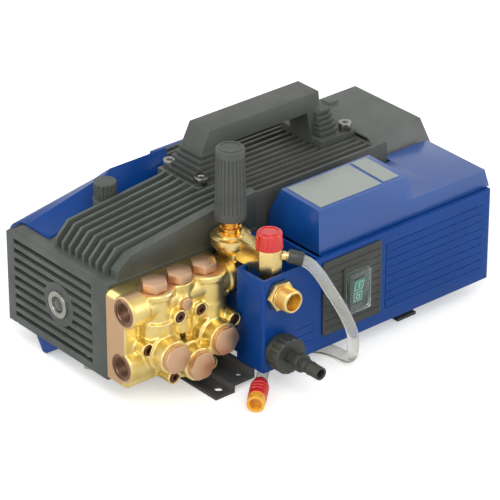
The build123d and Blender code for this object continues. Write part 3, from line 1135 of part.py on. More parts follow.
def unloader_knob():
    """Long ribbed pressure knob, a little narrower at the top."""
    x, y = UNLOADER_X, UNLOADER_Y
    knob = z_rod(x, y, KNOB_R, KNOB_Z0, KNOB_Z1, tip=KNOB_R - KNOB_TAPER)
    knob = fillet(knob.edges().filter_by(GeomType.CIRCLE).sort_by(Axis.Z)[-1:], 2)
    lean = math.degrees(math.atan(KNOB_TAPER / (KNOB_Z1 - KNOB_Z0)))
    middle = Pos(KNOB_R - KNOB_TAPER / 2, 0, (KNOB_Z0 + KNOB_Z1) / 2)
    flute = middle * Rot(0, -lean, 0) * Cylinder(1.1, KNOB_Z1 - KNOB_Z0 - 16)
    for i in range(KNOB_FLUTES):
        knob -= Pos(x, y, 0) * Rot(0, 0, i * 360 / KNOB_FLUTES) * flute
    return knob - z_rod(x, y, STEM_R + RUN, KNOB_Z0 - 1, KNOB_Z1 - 18)


def injector_knob():
    """Red dosing knob with a knurled skirt and its needle stem."""
    x, y = INJECTOR_X, INJECTOR_Y
    z0 = VALVE_TOP_Z + GAP
    knob = z_rod(x, y, RED_KNOB_R, z0, z0 + RED_KNOB_H, tip=RED_KNOB_R - 1)
    knob = fillet(knob.edges().filter_by(GeomType.CIRCLE).sort_by(Axis.Z)[-1:], 2)
    for i in range(18):
        flute = Pos(RED_KNOB_R, 0, z0 + RED_KNOB_H / 2 - 2) * Cylinder(0.9, RED_KNOB_H - 6)
        knob -= Pos(x, y, 0) * Rot(0, 0, i * 20) * flute
    return knob + z_rod(x, y, RED_STEM_R, VALVE_TOP_Z - 12, z0 + 1)


def barb_frame():
    """Where the hose barb leaves the injector: forward and towards the fan end, level."""
    return Pos(INJECTOR_X, INJECTOR_Y, BARB_Z) * Rot(0, 0, BARB_TURN) * Rot(0, 90, 0)


def hose_barb():
    """Barb that the detergent hose is pushed on, with a collar at the injector."""
    shape = z_rod(0, 0, 4.6, BARB_START, BARB_START + 5)
    shape += z_rod(0, 0, HOSE_BORE_R - 0.4, BARB_START, BARB_END)
    for i in range(2):
        z = BARB_START + 8 + 5 * i
        shape += z_rod(0, 0, HOSE_BORE_R - 0.05, z, z + 3, tip=HOSE_BORE_R - 0.4)
    barb = barb_frame() * (shape - z_rod(0, 0, 1.8, BARB_START - 1, BARB_END + 1))
    return barb - z_hex(INJECTOR_X, INJECTOR_Y, INJECTOR_HEX, HOUSING_Z1, VALVE_TOP_Z)


def outlet_fitting():
    """Hexagon nipple with a threaded spigot for the lance hose."""
    x, z, y0 = OUTLET_X, OUTLET_Z, HOUSING_FRONT
    hex_y = y0 - 1 - OUTLET_HEX_T
    fitting = y_rod(x, z, OUTLET_R - 1, y0 - 1, y0 + OUTLET_ROOT)
    fitting += y_hex(x, z, OUTLET_HEX, hex_y, y0 - 1)
    fitting += y_rod(x, z, OUTLET_R, y0 - OUTLET_LENGTH, hex_y)
    fitting = chamfer(fitting.edges().filter_by(GeomType.CIRCLE).group_by(Axis.Y)[0], 1)
    fitting -= y_rod(x, z, OUTLET_BORE_R, y0 - OUTLET_LENGTH - 1, hex_y)
    return fitting - y_rod(x, z, 6, y0 - OUTLET_LENGTH - 1, y0 + OUTLET_ROOT + 1)


def supply_elbow():
    """Elbow from the inlet connector to the head's supply gallery."""
    x, z = INLET_X, INLET_Z
    elbow = y_rod(x, z, PIPE_R, HOUSING_FRONT, SUPPLY_Y) + z_rod(x, SUPPLY_Y, PIPE_R, z, SUPPLY_Z)
    elbow += [Pos(x, SUPPLY_Y, height) * Sphere(PIPE_R) for height in (z, SUPPLY_Z)]
    elbow += x_rod(SUPPLY_Y, SUPPLY_Z, PIPE_R, HEAD_X1, x)
    elbow -= y_rod(x, z, GALLERY_R - 1, HOUSING_FRONT - 1, SUPPLY_Y)
    return elbow - x_rod(SUPPLY_Y, SUPPLY_Z, GALLERY_R - 1, HEAD_X1 - 1, x)


def inlet_flange():
    """Black flange and collar screwed to the front of the housing."""
    x, z, y0 = INLET_X, INLET_Z, HOUSING_FRONT
    flange = y_rod(x, z, 16, y0 - 5, y0) + y_rod(x, z, 12, y0 - 12, y0 - 5)
    return flange - y_rod(x, z, GALLERY_R - 1, y0 - 13, y0 + 1)


def inlet_tail():
    """Hose tail with a shoulder under the nut and three barbs."""
    x, z, y0 = INLET_X, INLET_Z, HOUSING_FRONT - 12
    tail = y_rod(x, z, 12, y0 - 3, y0) + y_rod(x, z, TAIL_R - 0.6, y0 - TAIL_LENGTH + 8, y0 - 2)
    for i in range(3):
        y1 = y0 - TAIL_LENGTH + 22 + 7 * i
        tail += y_rod(x, z, TAIL_R, y1 - 6, y1, tip=TAIL_R - 0.9)
    tail += y_rod(x, z, TAIL_R + 2, y0 - 24, y0 - 18)
    return tail - y_rod(x, z, TAIL_BORE_R, y0 - TAIL_LENGTH, y0 + 1)


def inlet_nut():
    """Ribbed swivel nut that draws the tail on to the collar."""
    x, z, y0 = INLET_X, INLET_Z, HOUSING_FRONT - 5 - GAP
    nut = y_rod(x, z, INLET_NUT_R, y0 - 14, y0)
    nut = chamfer(nut.edges().filter_by(GeomType.CIRCLE), 1)
    for i in range(16):
        flute = Pos(INLET_NUT_R + 0.4, 0, 0) * Cylinder(1.6, 20)
        nut -= Pos(x, y0 - 7, z) * Rot(90, 0, 0) * Rot(0, 0, i * 22.5) * flute
    nut -= y_rod(x, z, 12 + RUN, y0 - 10.3, y0 + 1)
    return nut - y_rod(x, z, TAIL_R - 0.6 + 0.1, y0 - 15, y0 + 1)


# ---------------------------------------------------------------- feet
def pump_foot_bracket():
    """Stepped steel strip across the machine under the pump."""
    y0, y1 = FOOT_Y0, FOOT_Y1
    x = -FOOT_SPACING_X / 2
    t, up = FOOT_T, FOOT_UPPER_Z
    lip = CASE_Z0 - 1
    outline = [(x - 13, 0), (x + 10, 0), (x + 10, up - t), (FOOT_STEP_X, up - t), (FOOT_STEP_X, lip),
               (FOOT_STEP_X - t, lip), (FOOT_STEP_X - t, up), (x + 10 - t, up), (x + 10 - t, t), (x - 13, t)]
    strip = y_prism(outline, y0, y1)
    for y in foot_hole_heights():
        strip -= z_rod(x, y, FOOT_HOLE_R, -1, t + 1)
    for px, py in pump_foot_places():
        strip -= z_rod(px, py, M6_R + 0.3, up - t - 1, up + 1)
    strip -= z_rod(FOOT_STEP_X - 10, y0 + 12, 3.5, up - t - 1, up + 1)
    return strip


def foot_hole_heights():
    return (FOOT_CENTRE_Y - FOOT_SPACING_Y / 2, FOOT_CENTRE_Y + FOOT_SPACING_Y / 2)


def motor_foot_bracket():
    x = FOOT_SPACING_X / 2
    strip = block(x - 12, x + 12, FOOT_Y0, FOOT_Y1, 0, FOOT_T)
    for y in foot_hole_heights():
        strip -= z_rod(x, y, FOOT_HOLE_R, -1, FOOT_T + 1)
    for y in (-MOTOR_LUG_Y, MOTOR_LUG_Y):
        strip -= z_rod(x, y, M6_R + 0.3, -1, FOOT_T + 1)
    return strip


def foot_screws():
    """Screws from below into the crankcase, and flush studs into the motor's lugs."""
    screw = Rot(180, 0, 0) * cap_screw(M6_R, 12)
    screws = [Pos(x, y, FOOT_UPPER_Z - FOOT_T) * screw for x, y in pump_foot_places()]
    studs = [z_rod(MOTOR_FOOT_X, y, M6_R - RUN, 0.3, FOOT_T + 11) for y in (-MOTOR_LUG_Y, MOTOR_LUG_Y)]
    return screws + studs


# ---------------------------------------------------------------- detergent hose
# The route is in the finished frame, origin at the centre of the foot holes.
HOSE_ROUTE = [
    (-51.2, -119.8, 132), (-38.5, -130.5, 128), (-29, -138.5, 114), (-20.5, -140.5, 98), (-9.5, -141.5, 79.5),
    (2, -142, 59), (12, -143, 34), (9, -144.5, 8.5), (11.5, -117, 5.8), (2, -97.5, 5.8), (-16.5, -86, 5.8),
    (-38.5, -84.5, 5.8), (-58, -94.5, 5.8), (-70.7, -108.2, 6.9), (-83.5, -120, 9),
]


def hose_radii():
    """A bend radius for each inner corner: 0.45 of the shorter run over the tangent of half the turn."""
    points = [Vector(*p) for p in HOSE_ROUTE]
    radii = []
    for a, b, c in zip(points, points[1:], points[2:]):
        turn = math.radians((b - a).get_angle(c - b))
        radii.append(0.45 * min((b - a).length, (c - b).length) / math.tan(turn / 2))
    return radii


def detergent_hose():
    """Clear tube from the injector down the housing's front, under it and out beside the head."""
    path = FilletPolyline(*HOSE_ROUTE, radius=hose_radii())
    start = Plane(path @ 0, z_dir=path % 0)
    tube = sweep(start * Circle(HOSE_R), path=path)
    ratio = tube.volume / (math.pi * HOSE_R**2 * path.length)
    print("hose length", round(path.length, 1), "volume ratio", round(ratio, 4))
    print("hose radii", [round(r, 1) for r in hose_radii()])
    return tube


def strainer_pose():
    """Axis of the strainer, carried on from the last run of the hose."""
    a, b = Vector(*HOSE_ROUTE[-2]), Vector(*HOSE_ROUTE[-1])
    return Plane(b, z_dir=Vector(b.X - a.X, b.Y - a.Y, 0))


def strainer_body():
    """Red strainer: a collar at the hose and a ribbed body."""
    shape = z_rod(0, 0, 7, HOSE_END_GAP, 10) + z_rod(0, 0, STRAINER_R, 8, 30)
    for z in (12, 17, 22):
        shape -= z_rod(0, 0, STRAINER_R + 1, z, z + 1.6) - z_rod(0, 0, STRAINER_R - 1, z - 1, z + 3)
    return strainer_pose() * shape


def strainer_screen():
    """Yellow end cap with a ring of slots."""
    shape = z_rod(0, 0, STRAINER_R - 0.5, 30, 40) - z_rod(0, 0, STRAINER_R - 3, 31.5, 41)
    for i in range(6):
        shape -= Rot(0, 0, i * 60) * block(0, STRAINER_R + 1, -1, 1, 33, 37)
    return strainer_pose() * shape


def oil_seals():
    return [shaft_seal(), *crosshead_seals()]


def plunger_packings():
    """Packing rings with the brass retainers that hold them."""
    return [*packing_rings(), *packing_retainers()]


def check_valves():
    return [*outlet_valves(), *inlet_valves()]


def shaft_bearings():
    return [*crank_bearings(), *motor_bearings()]


def motor_end_shields():
    return motor_front_shield(), motor_rear_shield()


def valve_caps():
    return [*outlet_valve_caps(), *inlet_valve_caps()]


def cap_screws():
    return [*rear_cover_screws(), *handle_screws(), *foot_screws()]


NODES = {
    "crankcase": crankcase, "crankcase_rear_cover": crankcase_rear_cover, "cap_screws": cap_screws,
    "sight_glass_ring": sight_glass_ring, "sight_glass_lens": sight_glass_lens,
    "oil_filler_cap": oil_filler_cap,
    "oil_drain_plug": oil_drain_plug, "crankshaft": crankshaft, "shaft_bearings": shaft_bearings,
    "oil_seals": oil_seals, "plunger_packings": plunger_packings, "pump_head": pump_head,
    "valve_caps": valve_caps, "check_valves": check_valves, "head_screws": head_screws,
    "gauge_port_plug": gauge_port_plug, "motor_frame": motor_frame, "stator_core": stator_core,
    "stator_windings": stator_windings, "rotor_core": rotor_core, "motor_shaft": motor_shaft,
    "shaft_coupling": shaft_coupling, "motor_end_shields": motor_end_shields, "cooling_fan": cooling_fan,
    "fan_cowl": fan_cowl, "carry_handle": carry_handle, "control_housing": control_housing,
    "top_cover": top_cover, "name_plates": name_plates, "rear_shroud": rear_shroud,
    "corner_foot": corner_foot,
    "switch_panel": switch_panel, "switch_body": switch_body, "switch_rocker": switch_rocker,
    "switch_hood": switch_hood, "run_capacitor": run_capacitor, "cable_gland": cable_gland,
    "unloader_body": unloader_body, "unloader_collar": unloader_collar, "unloader_piston": unloader_piston,
    "unloader_spring": unloader_spring, "unloader_knob": unloader_knob, "injector_knob": injector_knob,
    "hose_barb": hose_barb, "outlet_fitting": outlet_fitting, "supply_elbow": supply_elbow,
    "inlet_flange": inlet_flange, "inlet_tail": inlet_tail, "inlet_nut": inlet_nut,
    "pump_foot_bracket": pump_foot_bracket, "motor_foot_bracket": motor_foot_bracket,
}
FREE_NODES = {
    "detergent_hose": detergent_hose, "strainer_body": strainer_body, "strainer_screen": strainer_screen,
}

for node, build in NODES.items():
    made = build()
    save(node, *(made if isinstance(made, (list, tuple)) else [made]))
for number in range(3):
    save(f"connecting_rod_{number + 1}", *connecting_rod(number))
    save(f"plunger_{number + 1}", plunger(number))
for node, build in FREE_NODES.items():
    export_step(build(), f"parts/{node}.step")
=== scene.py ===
"""Looks of a hand-carried electric pressure washer pump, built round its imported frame.

Lengths are metres in the frame's own axes: +X from the pump end to the fan end, -Y the side of the
brass head and the controls, +Z up. The origin is the centre of the four foot bolts, on the floor.
"""

from __future__ import annotations

import json
import logging
import math
from dataclasses import dataclass
from enum import Enum
from typing import Any, Sequence

import bmesh
import bpy
from mathutils import Matrix, Vector

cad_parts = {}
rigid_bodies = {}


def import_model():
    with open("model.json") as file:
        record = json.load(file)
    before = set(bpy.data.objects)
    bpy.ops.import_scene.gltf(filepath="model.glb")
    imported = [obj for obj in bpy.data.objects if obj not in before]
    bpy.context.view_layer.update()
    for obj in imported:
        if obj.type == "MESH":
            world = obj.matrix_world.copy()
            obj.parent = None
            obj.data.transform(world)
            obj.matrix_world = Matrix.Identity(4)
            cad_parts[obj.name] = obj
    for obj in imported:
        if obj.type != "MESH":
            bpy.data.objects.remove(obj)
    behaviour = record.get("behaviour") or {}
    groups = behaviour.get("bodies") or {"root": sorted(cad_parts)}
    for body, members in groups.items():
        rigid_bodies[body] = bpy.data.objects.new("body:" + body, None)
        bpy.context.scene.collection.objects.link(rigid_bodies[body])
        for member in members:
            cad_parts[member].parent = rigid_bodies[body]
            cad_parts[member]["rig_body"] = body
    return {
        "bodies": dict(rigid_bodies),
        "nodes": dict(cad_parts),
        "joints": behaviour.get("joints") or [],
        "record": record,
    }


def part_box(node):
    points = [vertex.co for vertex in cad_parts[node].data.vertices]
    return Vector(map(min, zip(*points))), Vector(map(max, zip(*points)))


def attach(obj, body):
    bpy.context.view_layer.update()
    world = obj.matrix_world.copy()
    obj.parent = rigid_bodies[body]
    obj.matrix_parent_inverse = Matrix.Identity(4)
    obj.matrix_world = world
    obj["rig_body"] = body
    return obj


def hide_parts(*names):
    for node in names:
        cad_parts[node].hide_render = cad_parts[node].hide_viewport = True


LOG = logging.getLogger("pump_looks")
MM = 0.001
Colour = tuple[float, float, float, float]
Point = tuple[float, float, float]
Shape = bmesh.types.BMesh
Socket = bpy.types.NodeSocket
Tree = bpy.types.NodeTree
Node = bpy.types.Node
Profile = Sequence[tuple[float, float]]

# Shares of a thread's pitch: how deep its ridges are, and where each crest starts and ends.
THREAD_DEPTH = 0.55
CREST_START = 0.4
CREST_END = 0.6

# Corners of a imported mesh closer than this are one, and faces that turn less than this lie flat.
CORNER_WELD = 2e-6
EDGE_WELD = 1e-6
FLAT_ANGLE = 1.5

# Steps round one rib of a ribbed bar, the steps that lie in its groove, and the depth beside the middle.
RIB_STEPS = 6
GROOVE_STEPS = (3, 4, 5)
GROOVE_MIDDLE = 4
GROOVE_SIDE = 0.8


class Way(Enum):
    """Directions that a turned part may point in, each with the turn that carries +Z there."""

    FORWARD = Matrix.Rotation(math.pi / 2, 4, "X")
    LEFT = Matrix.Rotation(-math.pi / 2, 4, "Y")
    RIGHT = Matrix.Rotation(math.pi / 2, 4, "Y")

    def at(self, x: float, y: float, z: float) -> Matrix:
        """Matrix that puts a part drawn round +Z at a point, facing this way."""
        return Matrix.Translation((x, y, z)) @ self.value


def paint(code: str) -> Colour:
    """Linear colour of a six digit code such as "5a5f5a".

    Args:
        code: red, green and blue, two hexadecimal digits each, as a screen shows them.

    Returns:
        The colour, not see-through.
    """
    parts = [int(code[i:i + 2], 16) / 255 for i in (0, 2, 4)]
    red, green, blue = (c / 12.92 if c <= 0.04045 else ((c + 0.055) / 1.055) ** 2.4 for c in parts)
    return (red, green, blue, 1.0)


# ---- node wiring
class Wiring:
    """Short hand for adding and joining the nodes of one tree."""

    def __init__(self, tree: Tree) -> None:
        """Keep the tree that is wired."""
        self.tree = tree

    def add(self, kind: str, settings: dict[str, Any] | None = None, **sockets: Any) -> Node:
        """Add a node.

        Args:
            kind: the node's type name.
            settings: properties of the node itself.
            **sockets: values or output sockets for its inputs, spaces written as underscores.

        Returns:
            The new node.
        """
        node = self.tree.nodes.new(kind)
        for key, value in (settings or {}).items():
            setattr(node, key, value)
        for key, value in sockets.items():
            self.feed(node.inputs[key.replace("_", " ")], value)
        return node

    def feed(self, socket: Socket, value: Any) -> None:
        """Link an output to a socket, or set the socket's own value.

        Args:
            socket: the input to feed.
            value: an output socket or a plain value.
        """
        if isinstance(value, Socket):
            self.tree.links.new(value, socket)
        else:
            socket.default_value = value

    def maths(self, operation: str, first: Any, second: Any = 0.0,
              clamp: bool = False) -> Socket:
        """Result of one sum on two values or sockets.

        Args:
            operation: the sum's type name.
            first: first value or socket.
            second: second value or socket.
            clamp: whether the result is held between 0 and 1.

        Returns:
            The result's socket.
        """
        node = self.add("ShaderNodeMath", {"operation": operation, "use_clamp": clamp})
        self.feed(node.inputs[0], first)
        self.feed(node.inputs[1], second)
        return node.outputs[0]

    def blend(self, share: Any, first: Any, second: Any) -> Socket:
        """Colour between two colours by a share.

        Args:
            share: 0 gives the first colour, 1 the second.
            first: first colour or socket.
            second: second colour or socket.

        Returns:
            The colour's socket.
        """
        node = self.add("ShaderNodeMix", {"data_type": "RGBA"})
        self.feed(node.inputs["Factor"], share)
        self.feed(node.inputs[6], first)
        self.feed(node.inputs[7], second)
        return node.outputs[2]

    def span(self, value: Any, low: float, high: float, start: float = 0.0,
             end: float = 1.0) -> Socket:
        """A value carried from one range to another, held at its ends.

        Args:
            value: value or socket to carry.
            low: start of the range that it comes from.
            high: end of that range.
            start: what low becomes.
            end: what high becomes.

        Returns:
            The result's socket.
        """
        node = self.add("ShaderNodeMapRange", {"clamp": True}, From_Min=low, From_Max=high,
                        To_Min=start, To_Max=end)
        self.feed(node.inputs["Value"], value)
        return node.outputs["Result"]

    def spot(self) -> Socket:
        """Place on the piece, in its own axes."""
        return self.add("ShaderNodeTexCoord").outputs["Object"]

    def normal(self) -> Socket:
        """Normal of the surface as it is modelled."""
        return self.add("ShaderNodeNewGeometry").outputs["Normal"]

    def noise(self, **sockets: Any) -> Node:
        """Add a noise texture, with values or output sockets for its inputs."""
        return self.add("ShaderNodeTexNoise", **sockets)


class Effects:
    """Node groups that several finishes share, each built once."""

    def __init__(self) -> None:
        """Start with no group built."""
        self.built: dict[str, Tree] = {}

    def group(self, name: str) -> Tree:
        """Give the group of that name, built at its first use.

        Args:
            name: one of grain, rub, settle and tooling.

        Returns:
            The group.
        """
        if name not in self.built:
            self.built[name] = getattr(self, f"_{name}")()
        return self.built[name]

    @staticmethod
    def _open(name: str, inputs: dict[str, float], outputs: dict[str, str]) -> tuple[Any, Any, Wiring, Any]:
        """Start a group.

        Args:
            name: the group's name.
            inputs: number inputs and their usual values.
            outputs: outputs and their socket types.

        Returns:
            The tree, its input node, its wiring and its output node.
        """
        tree = bpy.data.node_groups.new(name, "ShaderNodeTree")
        for label, usual in inputs.items():
            socket = tree.interface.new_socket(label, in_out="INPUT", socket_type="NodeSocketFloat")
            socket.default_value = usual
        for label, kind in outputs.items():
            tree.interface.new_socket(label, in_out="OUTPUT", socket_type=kind)
        wiring = Wiring(tree)
        return tree, wiring.add("NodeGroupInput"), wiring, wiring.add("NodeGroupOutput")

    def _grain(self) -> Tree:
        """Fine surface grain as a normal, and broad mottling as a mask.

        Returns:
            The group.
        """
        tree, given, wiring, out = self._open(
            "grain", {"Scale": 900.0, "Strength": 0.2, "Patch": 30.0},
            {"Normal": "NodeSocketVector", "Mask": "NodeSocketFloat"})
        place = wiring.spot()
        fine = wiring.noise(Vector=place, Scale=given.outputs["Scale"], Detail=3.0)
        bump = wiring.add("ShaderNodeBump", Strength=given.outputs["Strength"], Distance=0.0006,
                          Height=fine.outputs["Fac"])
        broad = wiring.noise(Vector=place, Scale=given.outputs["Patch"], Detail=5.0, Roughness=0.6)
        wiring.feed(out.inputs["Normal"], bump.outputs["Normal"])
        wiring.feed(out.inputs["Mask"], wiring.span(broad.outputs["Fac"], 0.35, 0.65))
        return tree

    def _edge_wear_and_highlight(self) -> Tree:
        """Mask of lighter corners, broken up by noise: edge wear on most finishes, a painted highlight on the
        brass and the blue mouldings.

        Returns:
            The group.
        """
        tree, given, wiring, out = self._open(
            "edge_wear_and_highlight", {"Radius": 0.001, "Amount": 1.0}, {"Mask": "NodeSocketFloat"})
        round_normal = wiring.add("ShaderNodeBevel", {"samples": 4}, Radius=given.outputs["Radius"])
        true_normal = wiring.normal()
        dot = wiring.add("ShaderNodeVectorMath", {"operation": "DOT_PRODUCT"})
        wiring.feed(dot.inputs[0], round_normal.outputs["Normal"])
        wiring.feed(dot.inputs[1], true_normal)
        corner = wiring.span(dot.outputs["Value"], 0.995, 0.9)
        noise = wiring.noise(Vector=wiring.spot(), Scale=220.0, Detail=4.0)
        broken = wiring.maths("MULTIPLY", corner, wiring.span(noise.outputs["Fac"], 0.35, 0.6))
        wiring.feed(out.inputs["Mask"], wiring.maths("MULTIPLY", broken, given.outputs["Amount"], clamp=True))
        return tree

    def _settle(self) -> Tree:
        """Mask of dust that has settled on faces that look up.

        Returns:
            The group.
        """
        tree, given, wiring, out = self._open("settle", {"Amount": 0.2}, {"Mask": "NodeSocketFloat"})
        normal = wiring.add("ShaderNodeSeparateXYZ", Vector=wiring.normal())
        noise = wiring.noise(Vector=wiring.spot(), Scale=60.0, Detail=6.0)
        lying = wiring.maths("MULTIPLY", wiring.span(normal.outputs["Z"], 0.5, 1.0),
                             wiring.span(noise.outputs["Fac"], 0.3, 0.7))
        wiring.feed(out.inputs["Mask"], wiring.maths("MULTIPLY", lying, given.outputs["Amount"], clamp=True))
        return tree

    def _tooling(self) -> Tree:
        """Fine turning marks as a normal, and their streaks as a mask.

        Returns:
            The group.
        """
        tree, given, wiring, out = self._open(
            "tooling", {"Scale": 500.0, "Strength": 0.15},
            {"Normal": "NodeSocketVector", "Mask": "NodeSocketFloat"})
        squeezed = wiring.add("ShaderNodeMapping", Vector=wiring.spot(), Scale=(1.0, 1.0, 8.0))
        noise = wiring.noise(Vector=squeezed.outputs["Vector"], Scale=given.outputs["Scale"], Detail=2.0)
        bump = wiring.add("ShaderNodeBump", Strength=given.outputs["Strength"], Distance=0.0003,
                          Height=noise.outputs["Fac"])
        wiring.feed(out.inputs["Normal"], bump.outputs["Normal"])
        wiring.feed(out.inputs["Mask"], wiring.span(noise.outputs["Fac"], 0.3, 0.7))
        return tree


# ---- finishes
@dataclass(frozen=True)
class Finish:
    """One surface finish: a base colour with mottling, grain, lighter corners (edge wear on most finishes, a
    painted highlight on the brass and the blue mouldings) and settled dust.
    """

    name: str
    colour: str
    shade: str
    roughness: float = 0.5
    spread: float = 0.1
    metal: float = 0.0
    grain: float = 900.0
    depth: float = 0.2
    patch: float = 30.0
    edge_wear_and_highlight: float = 0.0
    edge_wear_and_highlight_colour: str = "a0a4a0"
    edge_wear_and_highlight_radius: float = 0.0009
    dust: float = 0.0
    dust_colour: str = "a9a79c"
    coat: float = 0.0
    coat_roughness: float = 0.15
    specular: float = 0.5
    turned: bool = False

    def material(self, effects: Effects) -> bpy.types.Material:
        """Give this finish's material, built at its first use."""
        found = bpy.data.materials.get(self.name)
        return found or self._build(effects)

    def _build(self, effects: Effects) -> bpy.types.Material:
        """Wire the material's nodes.

        Args:
            effects: the shared node groups.

        Returns:
            The material.
        """
        made = bpy.data.materials.new(self.name)
        made.use_nodes = True
        wiring = Wiring(made.node_tree)
        shader = made.node_tree.nodes["Principled BSDF"]
        kind = "tooling" if self.turned else "grain"
        base = wiring.add("ShaderNodeGroup", {"node_tree": effects.group(kind)}, Scale=self.grain,
                          Strength=self.depth)
        if not self.turned:
            base.inputs["Patch"].default_value = self.patch
        mask = base.outputs["Mask"]
        colour = wiring.blend(mask, paint(self.colour), paint(self.shade))
        # Lighter corners: edge wear on the castings, plastics and feet, painted highlight on the brass and
        # the blue mouldings.
        if self.edge_wear_and_highlight > 0:
            edge_wear_and_highlight_mask = wiring.add("ShaderNodeGroup", {"node_tree": effects.group("edge_wear_and_highlight")}, Radius=self.edge_wear_and_highlight_radius,
                              Amount=self.edge_wear_and_highlight)
            colour = wiring.blend(edge_wear_and_highlight_mask.outputs["Mask"], colour, paint(self.edge_wear_and_highlight_colour))
        if self.dust > 0:
            lying = wiring.add("ShaderNodeGroup", {"node_tree": effects.group("settle")}, Amount=self.dust)
            colour = wiring.blend(lying.outputs["Mask"], colour, paint(self.dust_colour))
        wiring.feed(shader.inputs["Base Color"], colour)
        low, high = self.roughness - self.spread / 2, self.roughness + self.spread / 2
        wiring.feed(shader.inputs["Roughness"], wiring.span(mask, 0.0, 1.0, low, high))
        wiring.feed(shader.inputs["Normal"], base.outputs["Normal"])
        shader.inputs["Metallic"].default_value = self.metal
        shader.inputs["Coat Weight"].default_value = self.coat
        shader.inputs["Coat Roughness"].default_value = self.coat_roughness
        shader.inputs["Specular IOR Level"].default_value = self.specular
        self.refine(wiring, shader, colour)
        return made

    def refine(self, wiring: Wiring, shader: Node, colour: Socket) -> None:
        """Change the shader further, where a kind of finish needs it."""


@dataclass(frozen=True)
class Forging(Finish):
    """Forged brass whose machined planes, over top and before end, are pinker than its skin."""

    top: float = 1.0
    end: float = -1.0
    cut_colour: str = "b98d68"
    tilted: float = 0.9
    square: float = 0.97

    def refine(self, wiring: Wiring, shader: Node, colour: Socket) -> None:
        """Tint the planes at the top and at the pump's end as cut metal.

        Args:
            wiring: the material's wiring.
            shader: its principled shader.
            colour: the base colour so far.
        """
        place = wiring.add("ShaderNodeSeparateXYZ", Vector=wiring.spot())
        normal = wiring.add("ShaderNodeSeparateXYZ", Vector=wiring.normal())
        above = wiring.maths("GREATER_THAN", place.outputs["Z"], self.top)
        flat = wiring.span(normal.outputs["Z"], self.tilted, self.square)
        at_end = wiring.maths("LESS_THAN", place.outputs["X"], self.end)
        facing = wiring.span(normal.outputs["X"], -self.tilted, -self.square)
        cut = wiring.maths("MAXIMUM", wiring.maths("MULTIPLY", above, flat),
                           wiring.maths("MULTIPLY", at_end, facing))
        wiring.feed(shader.inputs["Base Color"], wiring.blend(cut, colour, paint(self.cut_colour)))


@dataclass(frozen=True)
class Clear(Finish):
    """Clear or milky moulding."""

    passing: float = 1.0
    bend: float = 1.45

    def refine(self, wiring: Wiring, shader: Node, colour: Socket) -> None:
        """Let light through."""
        shader.inputs["Transmission Weight"].default_value = self.passing
        shader.inputs["IOR"].default_value = self.bend


